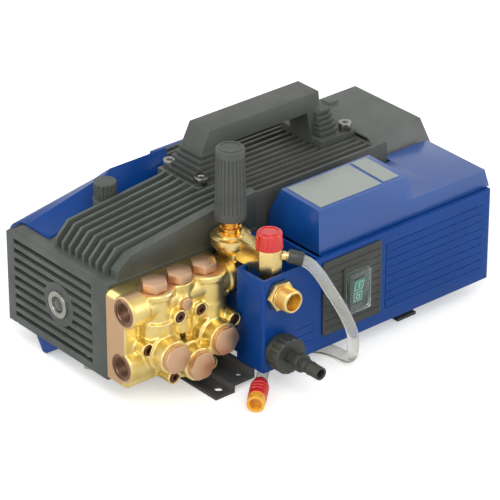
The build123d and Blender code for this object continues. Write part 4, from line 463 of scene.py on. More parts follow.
class Paints(Enum):
    """Every finish on the machine."""

    CASTING = Finish("cast_dark_grey", "4b504b", "414641", 0.5, 0.16, grain=1100, depth=0.22, patch=24,
                     edge_wear_and_highlight=0.5, edge_wear_and_highlight_colour="868b84", dust=0.06)
    CASTING_DEEP = Finish("cast_motor_grey", "4a4c46", "40423d", 0.55, 0.12, grain=1000, depth=0.22, edge_wear_and_highlight=0.4,
                          edge_wear_and_highlight_colour="7a7c72", dust=0.05)
    # The near-white brass corners are a painted highlight.
    BRASS = Forging("forged_brass", "efdb98", "dcc274", 0.38, 0.14, 1.0, grain=420, depth=0.16, patch=38,
                    edge_wear_and_highlight=0.7, edge_wear_and_highlight_colour="fff6d6", top=0.1172, end=-0.2022, cut_colour="d2ad86")
    BRASS_BRIGHT = Finish("machined_brass", "f2dc9c", "e0c078", 0.3, 0.12, 1.0, grain=600, depth=0.08,
                          turned=True)
    BRASS_AMBER = Finish("amber_brass", "e2ac50", "c68a38", 0.26, 0.12, 1.0, grain=500, depth=0.08)
    COPPERY = Finish("cut_brass_faces", "dcb898", "caa280", 0.42, 0.14, 1.0, grain=700, depth=0.12,
                     turned=True)
    # Dark brown threads and rims of the head's ports: painted shade of the port mouths.
    PORT_PAINTED_SHADE = Finish("port_painted_shade", "a07a62", "6e5244", 0.3, 0.12, 1.0, grain=900, depth=0.1)
    BRONZED = Finish("bronzed_screws", "7d5a48", "5e4236", 0.35, 0.15, 1.0, grain=900, depth=0.12)
    STEEL = Finish("zinc_steel", "b9b8b0", "97968f", 0.3, 0.15, 1.0, grain=900, depth=0.1)
    SHAFT = Finish("ground_steel", "a9abac", "8f9192", 0.25, 0.1, 1.0, grain=600, depth=0.08, turned=True)
    # The lighter blue corners of the housing, rear shell and foot are a painted highlight.
    BLUE = Finish("blue_moulding", "06408a", "063a7e", 0.36, 0.08, grain=1500, depth=0.05, patch=9, edge_wear_and_highlight=0.35,
                  edge_wear_and_highlight_colour="4a72b4", coat=0.05, specular=0.22)
    # The lighter blue corners of the cover are a painted highlight.
    BLUE_GLOSS = Finish("blue_cover_moulding", "084690", "084086", 0.3, 0.06, grain=1500, depth=0.04, patch=9,
                        edge_wear_and_highlight=0.4, edge_wear_and_highlight_colour="5f86c4", coat=0.5, specular=0.6)
    BLACK = Finish("black_moulding", "4a4d49", "424541", 0.48, 0.12, grain=1600, depth=0.16, patch=20,
                   edge_wear_and_highlight=0.3, edge_wear_and_highlight_colour="6a6e69", dust=0.05)
    COWL = Finish("cowl_moulding", "555955", "4e524e", 0.5, 0.12, grain=1500, depth=0.16, patch=16, edge_wear_and_highlight=0.3,
                  edge_wear_and_highlight_colour="72766f", dust=0.05)
    KNOB = Finish("knob_moulding", "4b4e4a", "414440", 0.5, 0.14, grain=1400, depth=0.14, edge_wear_and_highlight=0.4,
                  edge_wear_and_highlight_colour="70746e")
    FITTING = Finish("fitting_moulding", "383a36", "30322e", 0.42, 0.12, grain=1400, depth=0.12, edge_wear_and_highlight=0.3,
                     edge_wear_and_highlight_colour="5a5d58")
    RED = Finish("red_moulding", "d9281f", "c4201a", 0.24, 0.08, grain=1200, depth=0.05, coat=0.6)
    AMBER = Finish("yellow_screen", "f0b43c", "e09c2c", 0.3, 0.08, grain=1200, depth=0.05, coat=0.3)
    GREEN = Clear("green_rocker", "35b09a", "2b9c88", 0.25, 0.06, grain=1200, depth=0.03, passing=0.25)
    PLATE = Finish("bare_plate", "a9b0aa", "9da49e", 0.38, 0.12, 0.6, grain=700, depth=0.08, patch=12,
                   turned=True)
    MARK = Finish("white_marks", "e8e8e4", "deded8", 0.4, 0.06, grain=900, depth=0.03)
    FOOT = Finish("foot_steel", "3b3830", "2c2a26", 0.45, 0.16, 0.3, grain=800, depth=0.15, edge_wear_and_highlight=0.6,
                  edge_wear_and_highlight_colour="8a8272", dust=0.05)
    HOOD = Clear("clear_hood", "e8f2ee", "dfece8", 0.08, 0.04, grain=900, depth=0.01, passing=1.0)
    HOSE = Clear("milky_hose", "f2f2ec", "e8e8e0", 0.14, 0.06, grain=500, depth=0.02, passing=0.74, bend=1.42)
    RUBBER = Finish("black_rubber", "262624", "1e1e1c", 0.6, 0.1, grain=1200, depth=0.12)
    COPPER = Finish("copper_winding", "b4622e", "8c4820", 0.35, 0.12, 1.0, grain=1400, depth=0.3)
    SHEETS = Finish("stacked_sheets", "6c6e70", "585a5c", 0.4, 0.1, 1.0, grain=1400, depth=0.3, turned=True)
    CERAMIC = Finish("white_ceramic", "e4e2da", "d8d6ce", 0.15, 0.05, grain=900, depth=0.02, coat=0.5)


# ---- the bench
@dataclass
class Bench:
    """What every sub-assembly works with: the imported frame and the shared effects."""

    frame: dict[str, Any]
    effects: Effects

    def body_of(self, node: str) -> str:
        """Name of the body that a CAD node rides on."""
        return self.frame["nodes"][node]["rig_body"]

    def slot_of(self, node: str) -> str:
        """The record's material slot of a CAD node."""
        subparts = self.frame["record"]["subparts"]
        return next(part["material_slot"] for part in subparts if part["node"] == node)

    def keep(self, node: str, finish: Paints) -> None:
        """Leave a CAD node as it is and dress it.

        Args:
            node: the CAD node.
            finish: its surface.
        """
        piece = self.frame["nodes"][node]
        piece.data.materials.clear()
        piece.data.materials.append(finish.value.material(self.effects))
        LOG.info("kept %s in %s", node, finish.value.name)

    def place(self, bm: Shape, name: str, node: str, finish: Paints, stands_for: bool = False,
              crease: float = 35.0) -> bpy.types.Object:
        """Turn a bmesh into a finished piece that rides with a CAD node's body.

        Args:
            bm: the shape, in the frame's own axes. It is freed.
            name: the piece's name.
            node: the CAD node whose body the piece takes.
            finish: its surface.
            stands_for: whether the piece replaces that CAD node.
            crease: edges sharper than this many degrees stay sharp.

        Returns:
            The new object.
        """
        mesh = bpy.data.meshes.new(name)
        bm.to_mesh(mesh)
        bm.free()
        mesh.materials.append(finish.value.material(self.effects))
        mesh.polygons.foreach_set("use_smooth", [True] * len(mesh.polygons))
        mesh.set_sharp_from_angle(angle=math.radians(crease))
        piece = bpy.data.objects.new(name, mesh)
        bpy.context.scene.collection.objects.link(piece)
        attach(piece, self.body_of(node))
        if stands_for:
            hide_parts(node)
        LOG.info("made %s with %d faces", name, len(mesh.polygons))
        return piece

    def merged(self, node: str) -> Shape:
        """Copy of a CAD node's mesh with its corners merged and its flat faces whole.

        Args:
            node: the CAD node.

        Returns:
            The shape.
        """
        bm = bmesh.new()
        bm.from_mesh(self.frame["nodes"][node].data)
        bmesh.ops.remove_doubles(bm, verts=bm.verts, dist=CORNER_WELD)
        bmesh.ops.dissolve_degenerate(bm, edges=bm.edges, dist=EDGE_WELD)
        bmesh.ops.dissolve_limit(bm, angle_limit=math.radians(FLAT_ANGLE), use_dissolve_boundaries=False,
                                 verts=bm.verts, edges=bm.edges, delimit=set())
        return bm

    def eased(self, node: str, name: str, finish: Paints, width: float = 0.5 * MM, segments: int = 2,
              angle: float = 32.0) -> bpy.types.Object:
        """Copy of a CAD node with its corners broken, in the node's place.

        Args:
            node: the CAD node.
            name: the piece's name.
            finish: its surface.
            width: how far a corner is broken.
            segments: steps round each corner.
            angle: corners blunter than this many degrees are left.

        Returns:
            The new object.
        """
        bm = self.merged(node)
        limit = math.radians(angle)
        sharp = [e for e in bm.edges if len(e.link_faces) == 2 and e.calc_face_angle(0.0) > limit]
        bmesh.ops.bevel(bm, geom=sharp, offset=width, offset_type="OFFSET", segments=segments, profile=0.5,
                        affect="EDGES", clamp_overlap=True, material=-1)
        bmesh.ops.triangulate(bm, faces=[f for f in bm.faces if len(f.verts) > 4])
        return self.place(bm, name, node, finish, stands_for=True)

    def swollen(self, node: str, name: str, finish: Paints, voxel: float, rounds: int) -> bpy.types.Object:
        """Copy of a CAD node remeshed and smoothed like a forging, in the node's place.

        Args:
            node: the CAD node.
            name: the piece's name.
            finish: its surface.
            voxel: size of the remesh's steps.
            rounds: how often its surface is smoothed.

        Returns:
            The new object.
        """
        rough = bpy.data.meshes.new(name + "_rough")
        bm = self.merged(node)
        bmesh.ops.triangulate(bm, faces=bm.faces)
        bm.to_mesh(rough)
        bm.free()
        holder = bpy.data.objects.new(name + "_rough", rough)
        bpy.context.scene.collection.objects.link(holder)
        remesh = holder.modifiers.new("remesh", "REMESH")
        remesh.mode = "VOXEL"
        remesh.voxel_size = voxel
        even = bpy.data.meshes.new_from_object(holder.evaluated_get(bpy.context.evaluated_depsgraph_get()))
        bpy.data.objects.remove(holder)
        bm = bmesh.new()
        bm.from_mesh(even)
        for _ in range(rounds):
            bmesh.ops.smooth_vert(bm, verts=bm.verts, factor=0.5, use_axis_x=True, use_axis_y=True,
                                  use_axis_z=True)
        return self.place(bm, name, node, finish, stands_for=True, crease=180.0)


def turned(profile: Profile, steps: int = 48, closed: bool = False) -> Shape:
    """Spin a profile round +Z.

    Args:
        profile: points of radius and height, both ends on the axis unless closed.
        steps: faces round the turn.
        closed: whether the last point joins the first.

    Returns:
        The shape.
    """
    bm = bmesh.new()
    ring = [bm.verts.new((radius, 0.0, height)) for radius, height in profile]
    pairs = list(zip(ring, ring[1:])) + ([(ring[-1], ring[0])] if closed else [])
    edges = [bm.edges.new(pair) for pair in pairs]
    bmesh.ops.spin(bm, geom=ring + edges, cent=(0, 0, 0), axis=(0, 0, 1), angle=2 * math.pi, steps=steps,
                   use_merge=True)
    bmesh.ops.remove_doubles(bm, verts=bm.verts, dist=EDGE_WELD)
    bmesh.ops.recalc_face_normals(bm, faces=bm.faces)
    return bm


def ribbed(radius: float, depth: float, ribs: int, height: float, top: float = 1.0) -> Shape:
    """Upright bar with ribs round it, its caps left as flat faces.

    Args:
        radius: over the ribs.
        depth: of the grooves between them.
        ribs: how many.
        height: of the bar, from z = 0.
        top: size of the top as a share of the foot.

    Returns:
        The shape.
    """
    bm = bmesh.new()
    circle = bmesh.ops.create_circle(bm, cap_ends=True, radius=radius, segments=RIB_STEPS * ribs)
    for index, vert in enumerate(circle["verts"]):
        step = index % RIB_STEPS
        if step in GROOVE_STEPS:
            share = 1.0 if step == GROOVE_MIDDLE else GROOVE_SIDE
            vert.co *= (radius - depth * share) / radius
    up = bmesh.ops.extrude_face_region(bm, geom=list(bm.faces))
    raised = [item for item in up["geom"] if isinstance(item, bmesh.types.BMVert)]
    bmesh.ops.translate(bm, verts=raised, vec=(0, 0, height))
    bmesh.ops.scale(bm, verts=raised, vec=(top, top, 1.0))
    bmesh.ops.recalc_face_normals(bm, faces=bm.faces)
    return bm


def threaded(inner: float, outer: float, pitch: float, length: float,
             outside: bool = True) -> Shape:
    """Sleeve with the ridges of a thread on one of its walls.

    Args:
        inner: radius of the bore, or at the crests of an inside thread.
        outer: radius at the crests of an outside thread, or of the plain wall.
        pitch: from crest to crest.
        length: of the sleeve, from z = 0.
        outside: whether the ridges are on the outer wall.

    Returns:
        The shape.
    """
    turns = max(2, int(length / pitch))
    root = THREAD_DEPTH * pitch if outside else -THREAD_DEPTH * pitch
    crest = outer if outside else inner
    ridges = [(crest - root, 0.0)]
    for index in range(turns):
        start = index * pitch
        ridges += [(crest, start + CREST_START * pitch), (crest, start + CREST_END * pitch),
                   (crest - root, start + pitch)]
    plain = inner if outside else outer
    return turned([*ridges, (plain, turns * pitch), (plain, 0.0)], closed=True)


def slab(low: Vector, high: Vector, width: float = 0.0, segments: int = 2) -> Shape:
    """Box between two corners.

    Args:
        low: the low corner.
        high: the high corner.
        width: how far its edges are broken, 0 for sharp ones.
        segments: steps round each edge.

    Returns:
        The shape.
    """
    bm = bmesh.new()
    bmesh.ops.create_cube(bm, size=1.0)
    bmesh.ops.scale(bm, vec=high - low, verts=bm.verts)
    bmesh.ops.translate(bm, vec=(high + low) / 2, verts=bm.verts)
    if width > 0:
        bmesh.ops.bevel(bm, geom=bm.edges[:], offset=width, segments=segments, profile=0.5, affect="EDGES",
                        material=-1)
    return bm


def join(first: Shape, *others: Shape) -> Shape:
    """Put the shapes of several bmeshes into the first one.

    Args:
        first: the bmesh that takes them.
        *others: the shapes to add. They are freed.

    Returns:
        The first bmesh.
    """
    for other in others:
        mesh = bpy.data.meshes.new("carried")
        other.to_mesh(mesh)
        other.free()
        first.from_mesh(mesh)
        bpy.data.meshes.remove(mesh)
    return first


def moved(bm: Shape, matrix: Matrix) -> Shape:
    """The same shape, carried by a matrix."""
    bm.transform(matrix)
    return bm


# ---- studio
@dataclass
class Studio:
    """Camera, floor and soft lamps."""

    camera_place: Point = (-1.6934, -2.0095, 1.4915)
    camera_turn: Point = (61.6, 0.0, -40.2)
    lens: float = 223.2
    floor_half: float = 6.0
    floor_glow: float = 0.42
    below: float = -0.2
    above: float = 0.7
    surround: tuple[float, float] = (0.4, 0.75)
    mirrored: float = 0.9
    aim: Point = (0.0, 0.0, 0.1)
    lamps: tuple[tuple[str, Point, float, float], ...] = (
        ("key", (-1.0, -2.0, 2.5), 1.6, 34.0),
        ("left", (-2.6, -0.4, 1.1), 1.5, 22.0),
        ("right", (2.0, -1.9, 1.0), 1.3, 20.0),
        ("rim", (-1.2, 2.0, 1.9), 1.2, 12.0),
    )

    def build(self) -> None:
        """Make the whole studio."""
        self.camera()
        self.floor()
        self.world()
        for name, place, size, power in self.lamps:
            self.lamp(name, place, size, power)

    def camera(self) -> None:
        """Make the long lens camera at the front left."""
        data = bpy.data.cameras.new("camera")
        data.lens = self.lens
        data.sensor_width = 36.0
        data.clip_end = 50.0
        camera = bpy.data.objects.new("camera", data)
        camera.location = self.camera_place
        camera.rotation_euler = [math.radians(a) for a in self.camera_turn]
        bpy.context.scene.collection.objects.link(camera)
        bpy.context.scene.camera = camera

    def floor(self) -> None:
        """Make the pale floor, which reads white to the camera and still takes the shadow."""
        bm = bmesh.new()
        bmesh.ops.create_grid(bm, x_segments=1, y_segments=1, size=self.floor_half)
        mesh = bpy.data.meshes.new("floor")
        bm.to_mesh(mesh)
        bm.free()
        made = bpy.data.materials.new("pale_floor")
        made.use_nodes = True
        wiring = Wiring(made.node_tree)
        shader = made.node_tree.nodes["Principled BSDF"]
        shader.inputs["Base Color"].default_value = (0.8, 0.8, 0.79, 1.0)
        shader.inputs["Roughness"].default_value = 0.9
        shader.inputs["Specular IOR Level"].default_value = 0.1
        rays = wiring.add("ShaderNodeLightPath")
        seen = wiring.maths("MAXIMUM", rays.outputs["Is Camera Ray"], rays.outputs["Is Transmission Ray"])
        shader.inputs["Emission Color"].default_value = (1.0, 1.0, 0.99, 1.0)
        wiring.feed(shader.inputs["Emission Strength"], wiring.maths("MULTIPLY", seen, self.floor_glow))
        mesh.materials.append(made)
        floor = bpy.data.objects.new("floor", mesh)
        bpy.context.scene.collection.objects.link(floor)

    def world(self) -> None:
        """Make the pale surround: white to the camera, nearly so in reflections, dimmer as light."""
        world = bpy.data.worlds.new("studio")
        bpy.context.scene.world = world
        world.use_nodes = True
        wiring = Wiring(world.node_tree)
        ground = world.node_tree.nodes["Background"]
        rays = wiring.add("ShaderNodeLightPath")
        towards = wiring.add("ShaderNodeTexCoord").outputs["Generated"]
        height = wiring.add("ShaderNodeSeparateXYZ", Vector=towards)
        band = wiring.span(height.outputs["Z"], self.below, self.above, *self.surround)
        mirrored = wiring.maths("MULTIPLY", rays.outputs["Is Glossy Ray"], self.mirrored)
        seen = wiring.maths("MAXIMUM", rays.outputs["Is Camera Ray"], rays.outputs["Is Transmission Ray"])
        around = wiring.maths("MAXIMUM", band, mirrored)
        wiring.feed(ground.inputs["Strength"], wiring.maths("MAXIMUM", around, seen))
        ground.inputs["Color"].default_value = (1.0, 1.0, 1.0, 1.0)

    def lamp(self, name: str, place: Point, size: float, power: float) -> None:
        """Hang one square lamp that looks at the middle of the machine.

        Args:
            name: the lamp's name.
            place: where it hangs.
            size: length of its side.
            power: in watts.
        """
        data = bpy.data.lights.new(name, "AREA")
        data.size = size
        data.energy = power
        lamp = bpy.data.objects.new(name, data)
        lamp.location = place
        lamp.rotation_euler = (Vector(self.aim) - Vector(place)).to_track_quat("-Z", "Y").to_euler()
        bpy.context.scene.collection.objects.link(lamp)


# ---- detergent line
@dataclass
class DetergentLine:
    """Free hose from the injector to its strainer on the floor, its route in millimetres."""

    bench: Bench
    diameter: float = 11.2 * MM
    length: float = 0.295
    sleeve: float = 14.0 * MM
    sleeve_foot: float = 0.9 * MM
    sleeve_wall: float = 1.2 * MM
    sleeve_mouth: float = 0.8 * MM
    sleeve_slope: float = 1.0 * MM
    sleeve_start: float = 0.5 * MM
    route: tuple[Point, ...] = (
        (-51.2, -119.8, 132), (-38.5, -130.5, 128), (-29, -138.5, 114), (-20.5, -140.5, 98),
        (-9.5, -141.5, 79.5), (2, -142, 59), (12, -143, 34), (9, -144.5, 8.5), (11.5, -117, 5.8),
        (2, -97.5, 5.8), (-16.5, -86, 5.8), (-38.5, -84.5, 5.8), (-58, -94.5, 5.8),
        (-70.7, -108.2, 6.9), (-83.5, -120, 9),
    )

    def build(self) -> None:
        """Make the hose, its clamp and the strainer on it."""
        body = self.bench.eased("strainer_body", "strainer_cage", Paints.RED, 0.4 * MM)
        screen = self.bench.eased("strainer_screen", "strainer_end", Paints.AMBER, 0.3 * MM)
        hose = self.hose()
        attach(hose, "root")
        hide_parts("detergent_hose")
        self.bench.slot_of("detergent_hose")
        clamp = self.clamp()

    def hose(self) -> bpy.types.Object:
        """Make the smooth line of the hose.

        Returns:
            The hose.
        """
        curve = bpy.data.curves.new("hose_tube", "CURVE")
        curve.dimensions = "3D"
        curve.bevel_depth = self.diameter / 2
        curve.bevel_resolution = 8
        curve.use_fill_caps = True
        spline = curve.splines.new("NURBS")
        spline.points.add(len(self.route) - 1)
        for point, (x, y, z) in zip(spline.points, self.route):
            point.co = (x * MM, y * MM, z * MM, 1.0)
        spline.order_u = 3
        spline.use_endpoint_u = True
        spline.resolution_u = 12
        curve.materials.append(Paints.HOSE.value.material(self.bench.effects))
        piece = bpy.data.objects.new("hose_tube", curve)
        bpy.context.scene.collection.objects.link(piece)
        return piece

    def clamp(self) -> bpy.types.Object:
        """Make the dark sleeve that grips the hose on its barb.

        Returns:
            The sleeve.
        """
        start, second = (Vector(p) * MM for p in self.route[:2])
        along = (second - start).normalized()
        radius = self.diameter / 2
        end = self.sleeve
        wall, slope = radius + self.sleeve_wall, self.sleeve_slope
        profile = [(radius, 0), (radius + self.sleeve_foot, 0), (wall, slope), (wall, end - slope),
                   (radius + self.sleeve_mouth, end), (radius, end)]
        bm = turned(profile, 32, closed=True)
        turn = along.to_track_quat("Z", "Y").to_matrix().to_4x4()
        moved(bm, Matrix.Translation(start + along * self.sleeve_start) @ turn)
        return self.bench.place(bm, "hose_clamp", "hose_barb", Paints.FITTING)


# ---- sub-assemblies
@dataclass
class PumpEnd:
    """Crankcase casting with its rear cover, sight glass, filler cap and corner foot."""

    bench: Bench
    ribs: int = 32
    rib_height: float = 13.0 * MM
    rib_depth: float = 1.1 * MM
    rib_reach: float = 0.3 * MM
    rib_drop: float = 2.0 * MM
    rib_crease: float = 12.0

    def build(self) -> None:
        """Make every visible piece of the pump end."""
        self.bench.eased("crankcase", "crankcase_casting", Paints.CASTING, 0.5 * MM)
        self.bench.eased("crankcase_rear_cover", "rear_plate", Paints.CASTING, 0.5 * MM)
        self.bench.eased("oil_filler_cap", "filler_cap", Paints.KNOB, 0.4 * MM)
        low, high = (Vector(corner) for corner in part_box("oil_filler_cap"))
        radius = (high.x - low.x) / 2 + self.rib_reach
        band = ribbed(radius, self.rib_depth, self.ribs, self.rib_height)
        foot = high.z - self.rib_height - self.rib_drop
        moved(band, Matrix.Translation(((low.x + high.x) / 2, (low.y + high.y) / 2, foot)))
        self.bench.place(band, "filler_cap_ribs", "oil_filler_cap", Paints.KNOB, crease=self.rib_crease)
        self.bench.eased("oil_drain_plug", "drain_plug", Paints.STEEL, 0.3 * MM)
        self.bench.eased("corner_foot", "rear_corner_foot", Paints.BLUE, 1.5 * MM, 3)
        self.bench.eased("sight_glass_ring", "sight_ring", Paints.STEEL, 0.4 * MM)
        self.bench.keep("sight_glass_lens", Paints.HOOD)
        self.bench.eased("cap_screws", "socket_screws", Paints.STEEL, 0.3 * MM)


@dataclass
class BrassHead:
    """Forged head with its plugs and screws."""

    bench: Bench
    voxel: float = 0.85 * MM
    smoothing: int = 4
    face_x: float = -203.0 * MM
    port_radius: float = 10.5 * MM
    port_depth: float = 14.0 * MM
    pitch: float = 1.8 * MM
    thread_reach: float = 0.9 * MM
    thread_sunk: float = 0.3 * MM
    thread_start: float = 0.4 * MM
    rim_height: float = 0.5 * MM
    rim_flat: float = 2.6 * MM
    rim_width: float = 3.0 * MM
    ports: tuple[tuple[str, float, float], ...] = (
        ("delivery", -68.0 * MM, 104.0 * MM), ("supply", -63.0 * MM, 45.0 * MM))

    def build(self) -> None:
        """Make the forging and what is screwed into it."""
        self.bench.swollen("pump_head", "head_forging", Paints.BRASS, self.voxel, self.smoothing)
        self.bench.eased("valve_caps", "valve_plugs", Paints.COPPERY, 0.6 * MM)
        self.bench.eased("head_screws", "head_bolts", Paints.BRONZED, 0.4 * MM)
        self.bench.eased("gauge_port_plug", "gauge_plug", Paints.COPPERY, 0.4 * MM)
        # Port threads and rims in dark brown, painted shade of the port mouths.
        for label, y, z in self.ports:
            sleeve = threaded(self.port_radius - self.thread_reach, self.port_radius + self.thread_sunk,
                              self.pitch, self.port_depth, outside=False)
            moved(sleeve, Way.RIGHT.at(self.face_x + self.thread_start, y, z))
            self.bench.place(sleeve, f"{label}_port_thread", "pump_head", Paints.PORT_PAINTED_SHADE)
            rim = turned([(self.port_radius, 0.0), (self.port_radius, self.rim_height),
                          (self.port_radius + self.rim_flat, self.rim_height),
                          (self.port_radius + self.rim_width, 0.0)], closed=True)
            moved(rim, Way.LEFT.at(self.face_x, y, z))
            self.bench.place(rim, f"{label}_port_rim", "pump_head", Paints.PORT_PAINTED_SHADE)


@dataclass
class Motor:
    """Finned motor with its fan cowl."""

    bench: Bench

    def build(self) -> None:
        """Make the motor's outside."""
        self.bench.eased("motor_frame", "motor_casting", Paints.CASTING_DEEP, 0.4 * MM)
        self.bench.eased("fan_cowl", "fan_shroud", Paints.COWL, 1.2 * MM, 3)
        self.bench.eased("carry_handle", "handle_moulding", Paints.BLACK, 0.9 * MM, 2)


@dataclass
class BlueShells:
    """Blue control box, its cover, the plates on it and the rear shell."""

    bench: Bench
    ledge_inset: float = 1.0 * MM
    ledge_drop: float = 3.0 * MM
    ledge_reach: float = 9.0 * MM
    ledge_edge: float = 0.3 * MM

    def build(self) -> None:
        """Make the blue mouldings and the plates."""
        self.bench.eased("control_housing", "control_box", Paints.BLUE, 0.6 * MM)
        self.bench.eased("top_cover", "control_cover", Paints.BLUE_GLOSS, 1.4 * MM, 3)
        self.bench.eased("rear_shroud", "rear_shell", Paints.BLUE, 1.0 * MM)
        self.bench.eased("name_plates", "bare_plates", Paints.PLATE, 0.2 * MM)
        low, high = (Vector(corner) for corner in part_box("control_housing"))
        cover_low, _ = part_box("top_cover")
        inset = self.ledge_inset
        ledge = slab(Vector((cover_low[0] + inset, low.y + inset, high.z - self.ledge_drop)),
                     Vector((high.x - inset, low.y + self.ledge_reach, high.z - inset / 2)),
                     self.ledge_edge)
        self.bench.place(ledge, "cover_ledge", "control_housing", Paints.BLUE)
        self.bench.eased("cable_gland", "lead_gland", Paints.FITTING, 0.5 * MM)


@dataclass
class Switch:
    """Ribbed panel, rocker with its two marks, and clear hood."""

    bench: Bench
    centre_x: float = 29.0 * MM
    centre_z: float = 71.0 * MM
    half_width: float = 6.5 * MM
    half_height: float = 12.5 * MM
    slope: float = 5.5
    tilt: float = 7.0
    ridge_behind: float = 2.71 * MM
    ridge_below: float = 0.68 * MM
    stroke: float = 0.9 * MM
    proud: float = 0.08 * MM
    sunk: float = 0.3 * MM
    line_inside: float = 1.6 * MM
    line_outside: float = 1.4 * MM
    bar_from: float = 4.0 * MM
    bar_to: float = 9.0 * MM
    ring_inner: float = 1.8 * MM
    ring_outer: float = 2.7 * MM
    ring_z: float = -6.5 * MM

    def build(self) -> None:
        """Make the switch and its panel."""
        self.marks()
        self.bench.eased("switch_panel", "ribbed_panel", Paints.FITTING, 0.3 * MM)
        self.bench.eased("switch_body", "switch_bezel", Paints.FITTING, 0.4 * MM)
        self.bench.eased("switch_rocker", "rocker_key", Paints.GREEN, 0.4 * MM)
        self.bench.eased("switch_hood", "splash_hood", Paints.HOOD, 0.3 * MM)

    def marks(self) -> None:
        """Make the white bar and ring that say on and off, and the line round them."""
        box_low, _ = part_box("switch_rocker")
        reach, line = self.half_width - self.stroke, self.stroke / 2
        whole = bmesh.new()
        for side, turn, shape in ((1, self.tilt + self.slope, self.bar()),
                                  (-1, self.tilt - self.slope, self.ring())):
            ends = (side * self.line_inside, side * (self.half_height - self.line_outside))
            low, high = sorted(ends)
            for x0, x1, z0, z1 in ((-reach, reach, low, low + line), (-reach, reach, high - line, high),
                                   (-reach, line - reach, low, high), (reach - line, reach, low, high)):
                join(shape, slab(Vector((x0, -self.proud, z0)), Vector((x1, self.sunk, z1))))
            moved(shape, Matrix.Rotation(math.radians(turn), 4, "X"))
            join(whole, shape)
        ridge = (self.centre_x, box_low[1] + self.ridge_behind, self.centre_z - self.ridge_below)
        moved(whole, Matrix.Translation(ridge))
        self.bench.place(whole, "rocker_marks", "switch_rocker", Paints.MARK)

    def bar(self) -> Shape:
        """Upright bar of the on mark."""
        half = self.stroke / 2
        return slab(Vector((-half, -self.proud, self.bar_from)), Vector((half, self.sunk, self.bar_to)))

    def ring(self) -> Shape:
        """Ring of the off mark.

        Returns:
            The shape.
        """
        inner, outer = self.ring_inner, self.ring_outer
        shape = turned([(inner, -self.sunk), (inner, self.proud), (outer, self.proud), (outer, -self.sunk)],
                       32, closed=True)
        return moved(shape, Way.FORWARD.at(0.0, 0.0, self.ring_z))


@dataclass
class ValveBlock:
    """Unloader and injector with their knobs, and a ring of some radius and width on each knob."""

    bench: Bench
    ring_side: float = 0.5 * MM
    ring_top: float = 0.9 * MM
    ring_slope: float = 0.4 * MM
    rings: tuple[tuple[str, str, float, float, Paints], ...] = (
        ("unloader_knob", "dial_top_ring", 11.2 * MM, 1.4 * MM, Paints.KNOB),
        ("injector_knob", "dosing_top_ring", 9.0 * MM, 1.2 * MM, Paints.RED),
    )

    def build(self) -> None:
        """Make the valves."""
        self.bench.eased("unloader_body", "valve_block", Paints.BRASS_BRIGHT, 0.7 * MM)
        self.bench.eased("unloader_collar", "knob_collar", Paints.BRASS_AMBER, 0.5 * MM)
        self.bench.eased("unloader_knob", "pressure_dial", Paints.KNOB, 0.2 * MM)
        self.bench.eased("injector_knob", "dosing_dial", Paints.RED, 0.4 * MM)
        self.bench.eased("hose_barb", "barb_nipple", Paints.BRASS_BRIGHT, 0.2 * MM)
        self.dial_tops()

    def dial_tops(self) -> None:
        """Make the raised rings on top of the pressure dial and the dosing dial."""
        side, top, slope = self.ring_side, self.ring_top, self.ring_slope
        for node, name, radius, width, finish in self.rings:
            low, high = (Vector(corner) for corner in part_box(node))
            inner = radius - width
            ring = turned([(inner, -side), (radius, -side), (radius, side), (radius - slope, top),
                           (inner + slope, top), (inner, side)], 64, closed=True)
            middle = (low + high) / 2
            moved(ring, Matrix.Translation((middle.x, middle.y, high.z)))
            self.bench.place(ring, name, node, finish)


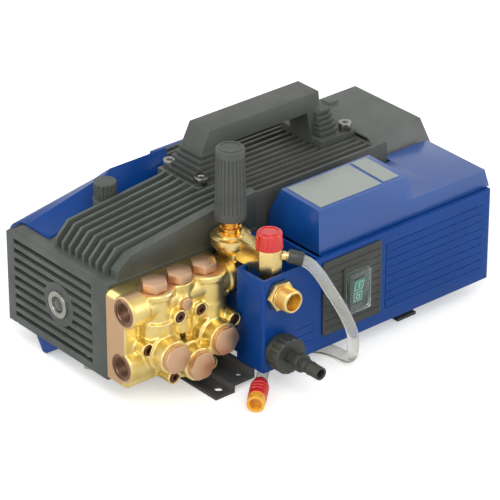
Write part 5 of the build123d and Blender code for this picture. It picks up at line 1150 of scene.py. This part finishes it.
@dataclass
class WaterFittings:
    """Threaded outlet and barbed inlet."""

    bench: Bench
    thread_radius: float = 11.2 * MM
    thread_length: float = 12.5 * MM
    thread_sunk: float = 0.8 * MM
    thread_proud: float = 0.35 * MM
    thread_start: float = 1.2 * MM
    pitch: float = 1.5 * MM

    def build(self) -> None:
        """Make the fittings."""
        low, high = (Vector(corner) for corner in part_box("outlet_fitting"))
        middle = (low + high) / 2
        sleeve = threaded(self.thread_radius - self.thread_sunk, self.thread_radius + self.thread_proud,
                          self.pitch, self.thread_length)
        start = low.y + self.thread_start + self.thread_length
        moved(sleeve, Way.FORWARD.at(middle.x, start, middle.z))
        self.bench.place(sleeve, "outlet_thread", "outlet_fitting", Paints.BRASS_AMBER)
        self.bench.eased("outlet_fitting", "outlet_nipple", Paints.BRASS_BRIGHT, 0.5 * MM)
        self.bench.eased("inlet_flange", "inlet_collar", Paints.FITTING, 0.6 * MM)
        self.bench.eased("inlet_tail", "barbed_tail", Paints.FITTING, 0.4 * MM)
        self.bench.eased("inlet_nut", "swivel_ring", Paints.FITTING, 0.5 * MM)
        self.bench.eased("supply_elbow", "feed_elbow", Paints.FITTING, 0.5 * MM)


@dataclass
class Feet:
    """Steel strips that carry the machine."""

    bench: Bench

    def build(self) -> None:
        """Make both strips."""
        self.bench.eased("pump_foot_bracket", "front_strip", Paints.FOOT, 0.5 * MM)
        self.bench.eased("motor_foot_bracket", "rear_strip", Paints.FOOT, 0.5 * MM)


@dataclass
class InnerWorks:
    """Pieces inside the castings, left as the frame gives them."""

    bench: Bench

    def build(self) -> None:
        """Dress what is inside."""
        dressed = {
            Paints.SHAFT: ["crankshaft", "shaft_bearings", "motor_shaft", "shaft_coupling", "check_valves",
                           "unloader_piston", "unloader_spring"],
            Paints.RUBBER: ["oil_seals"],
            Paints.BRASS_BRIGHT: ["plunger_packings"],
            Paints.SHEETS: ["stator_core", "rotor_core"],
            Paints.COPPER: ["stator_windings"],
            Paints.CASTING_DEEP: ["motor_end_shields"],
            Paints.FITTING: ["cooling_fan"],
            Paints.PLATE: ["run_capacitor", "connecting_rod_1", "connecting_rod_2", "connecting_rod_3"],
            Paints.CERAMIC: ["plunger_1", "plunger_2", "plunger_3"],
        }
        for finish, nodes in dressed.items():
            for node in nodes:
                self.bench.keep(node, finish)


def main() -> None:
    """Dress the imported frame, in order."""
    logging.basicConfig(level=logging.INFO, format="%(name)s: %(message)s")
    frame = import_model()
    bpy.context.scene.view_settings.view_transform = "Standard"
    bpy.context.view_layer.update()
    bench = Bench(frame, Effects())
    Studio().build()
    DetergentLine(bench).build()
    for assembly in (PumpEnd, BrassHead, Motor, BlueShells, Switch, ValveBlock, WaterFittings, Feet,
                     InnerWorks):
        assembly(bench).build()


if __name__ == "__main__":
    main()
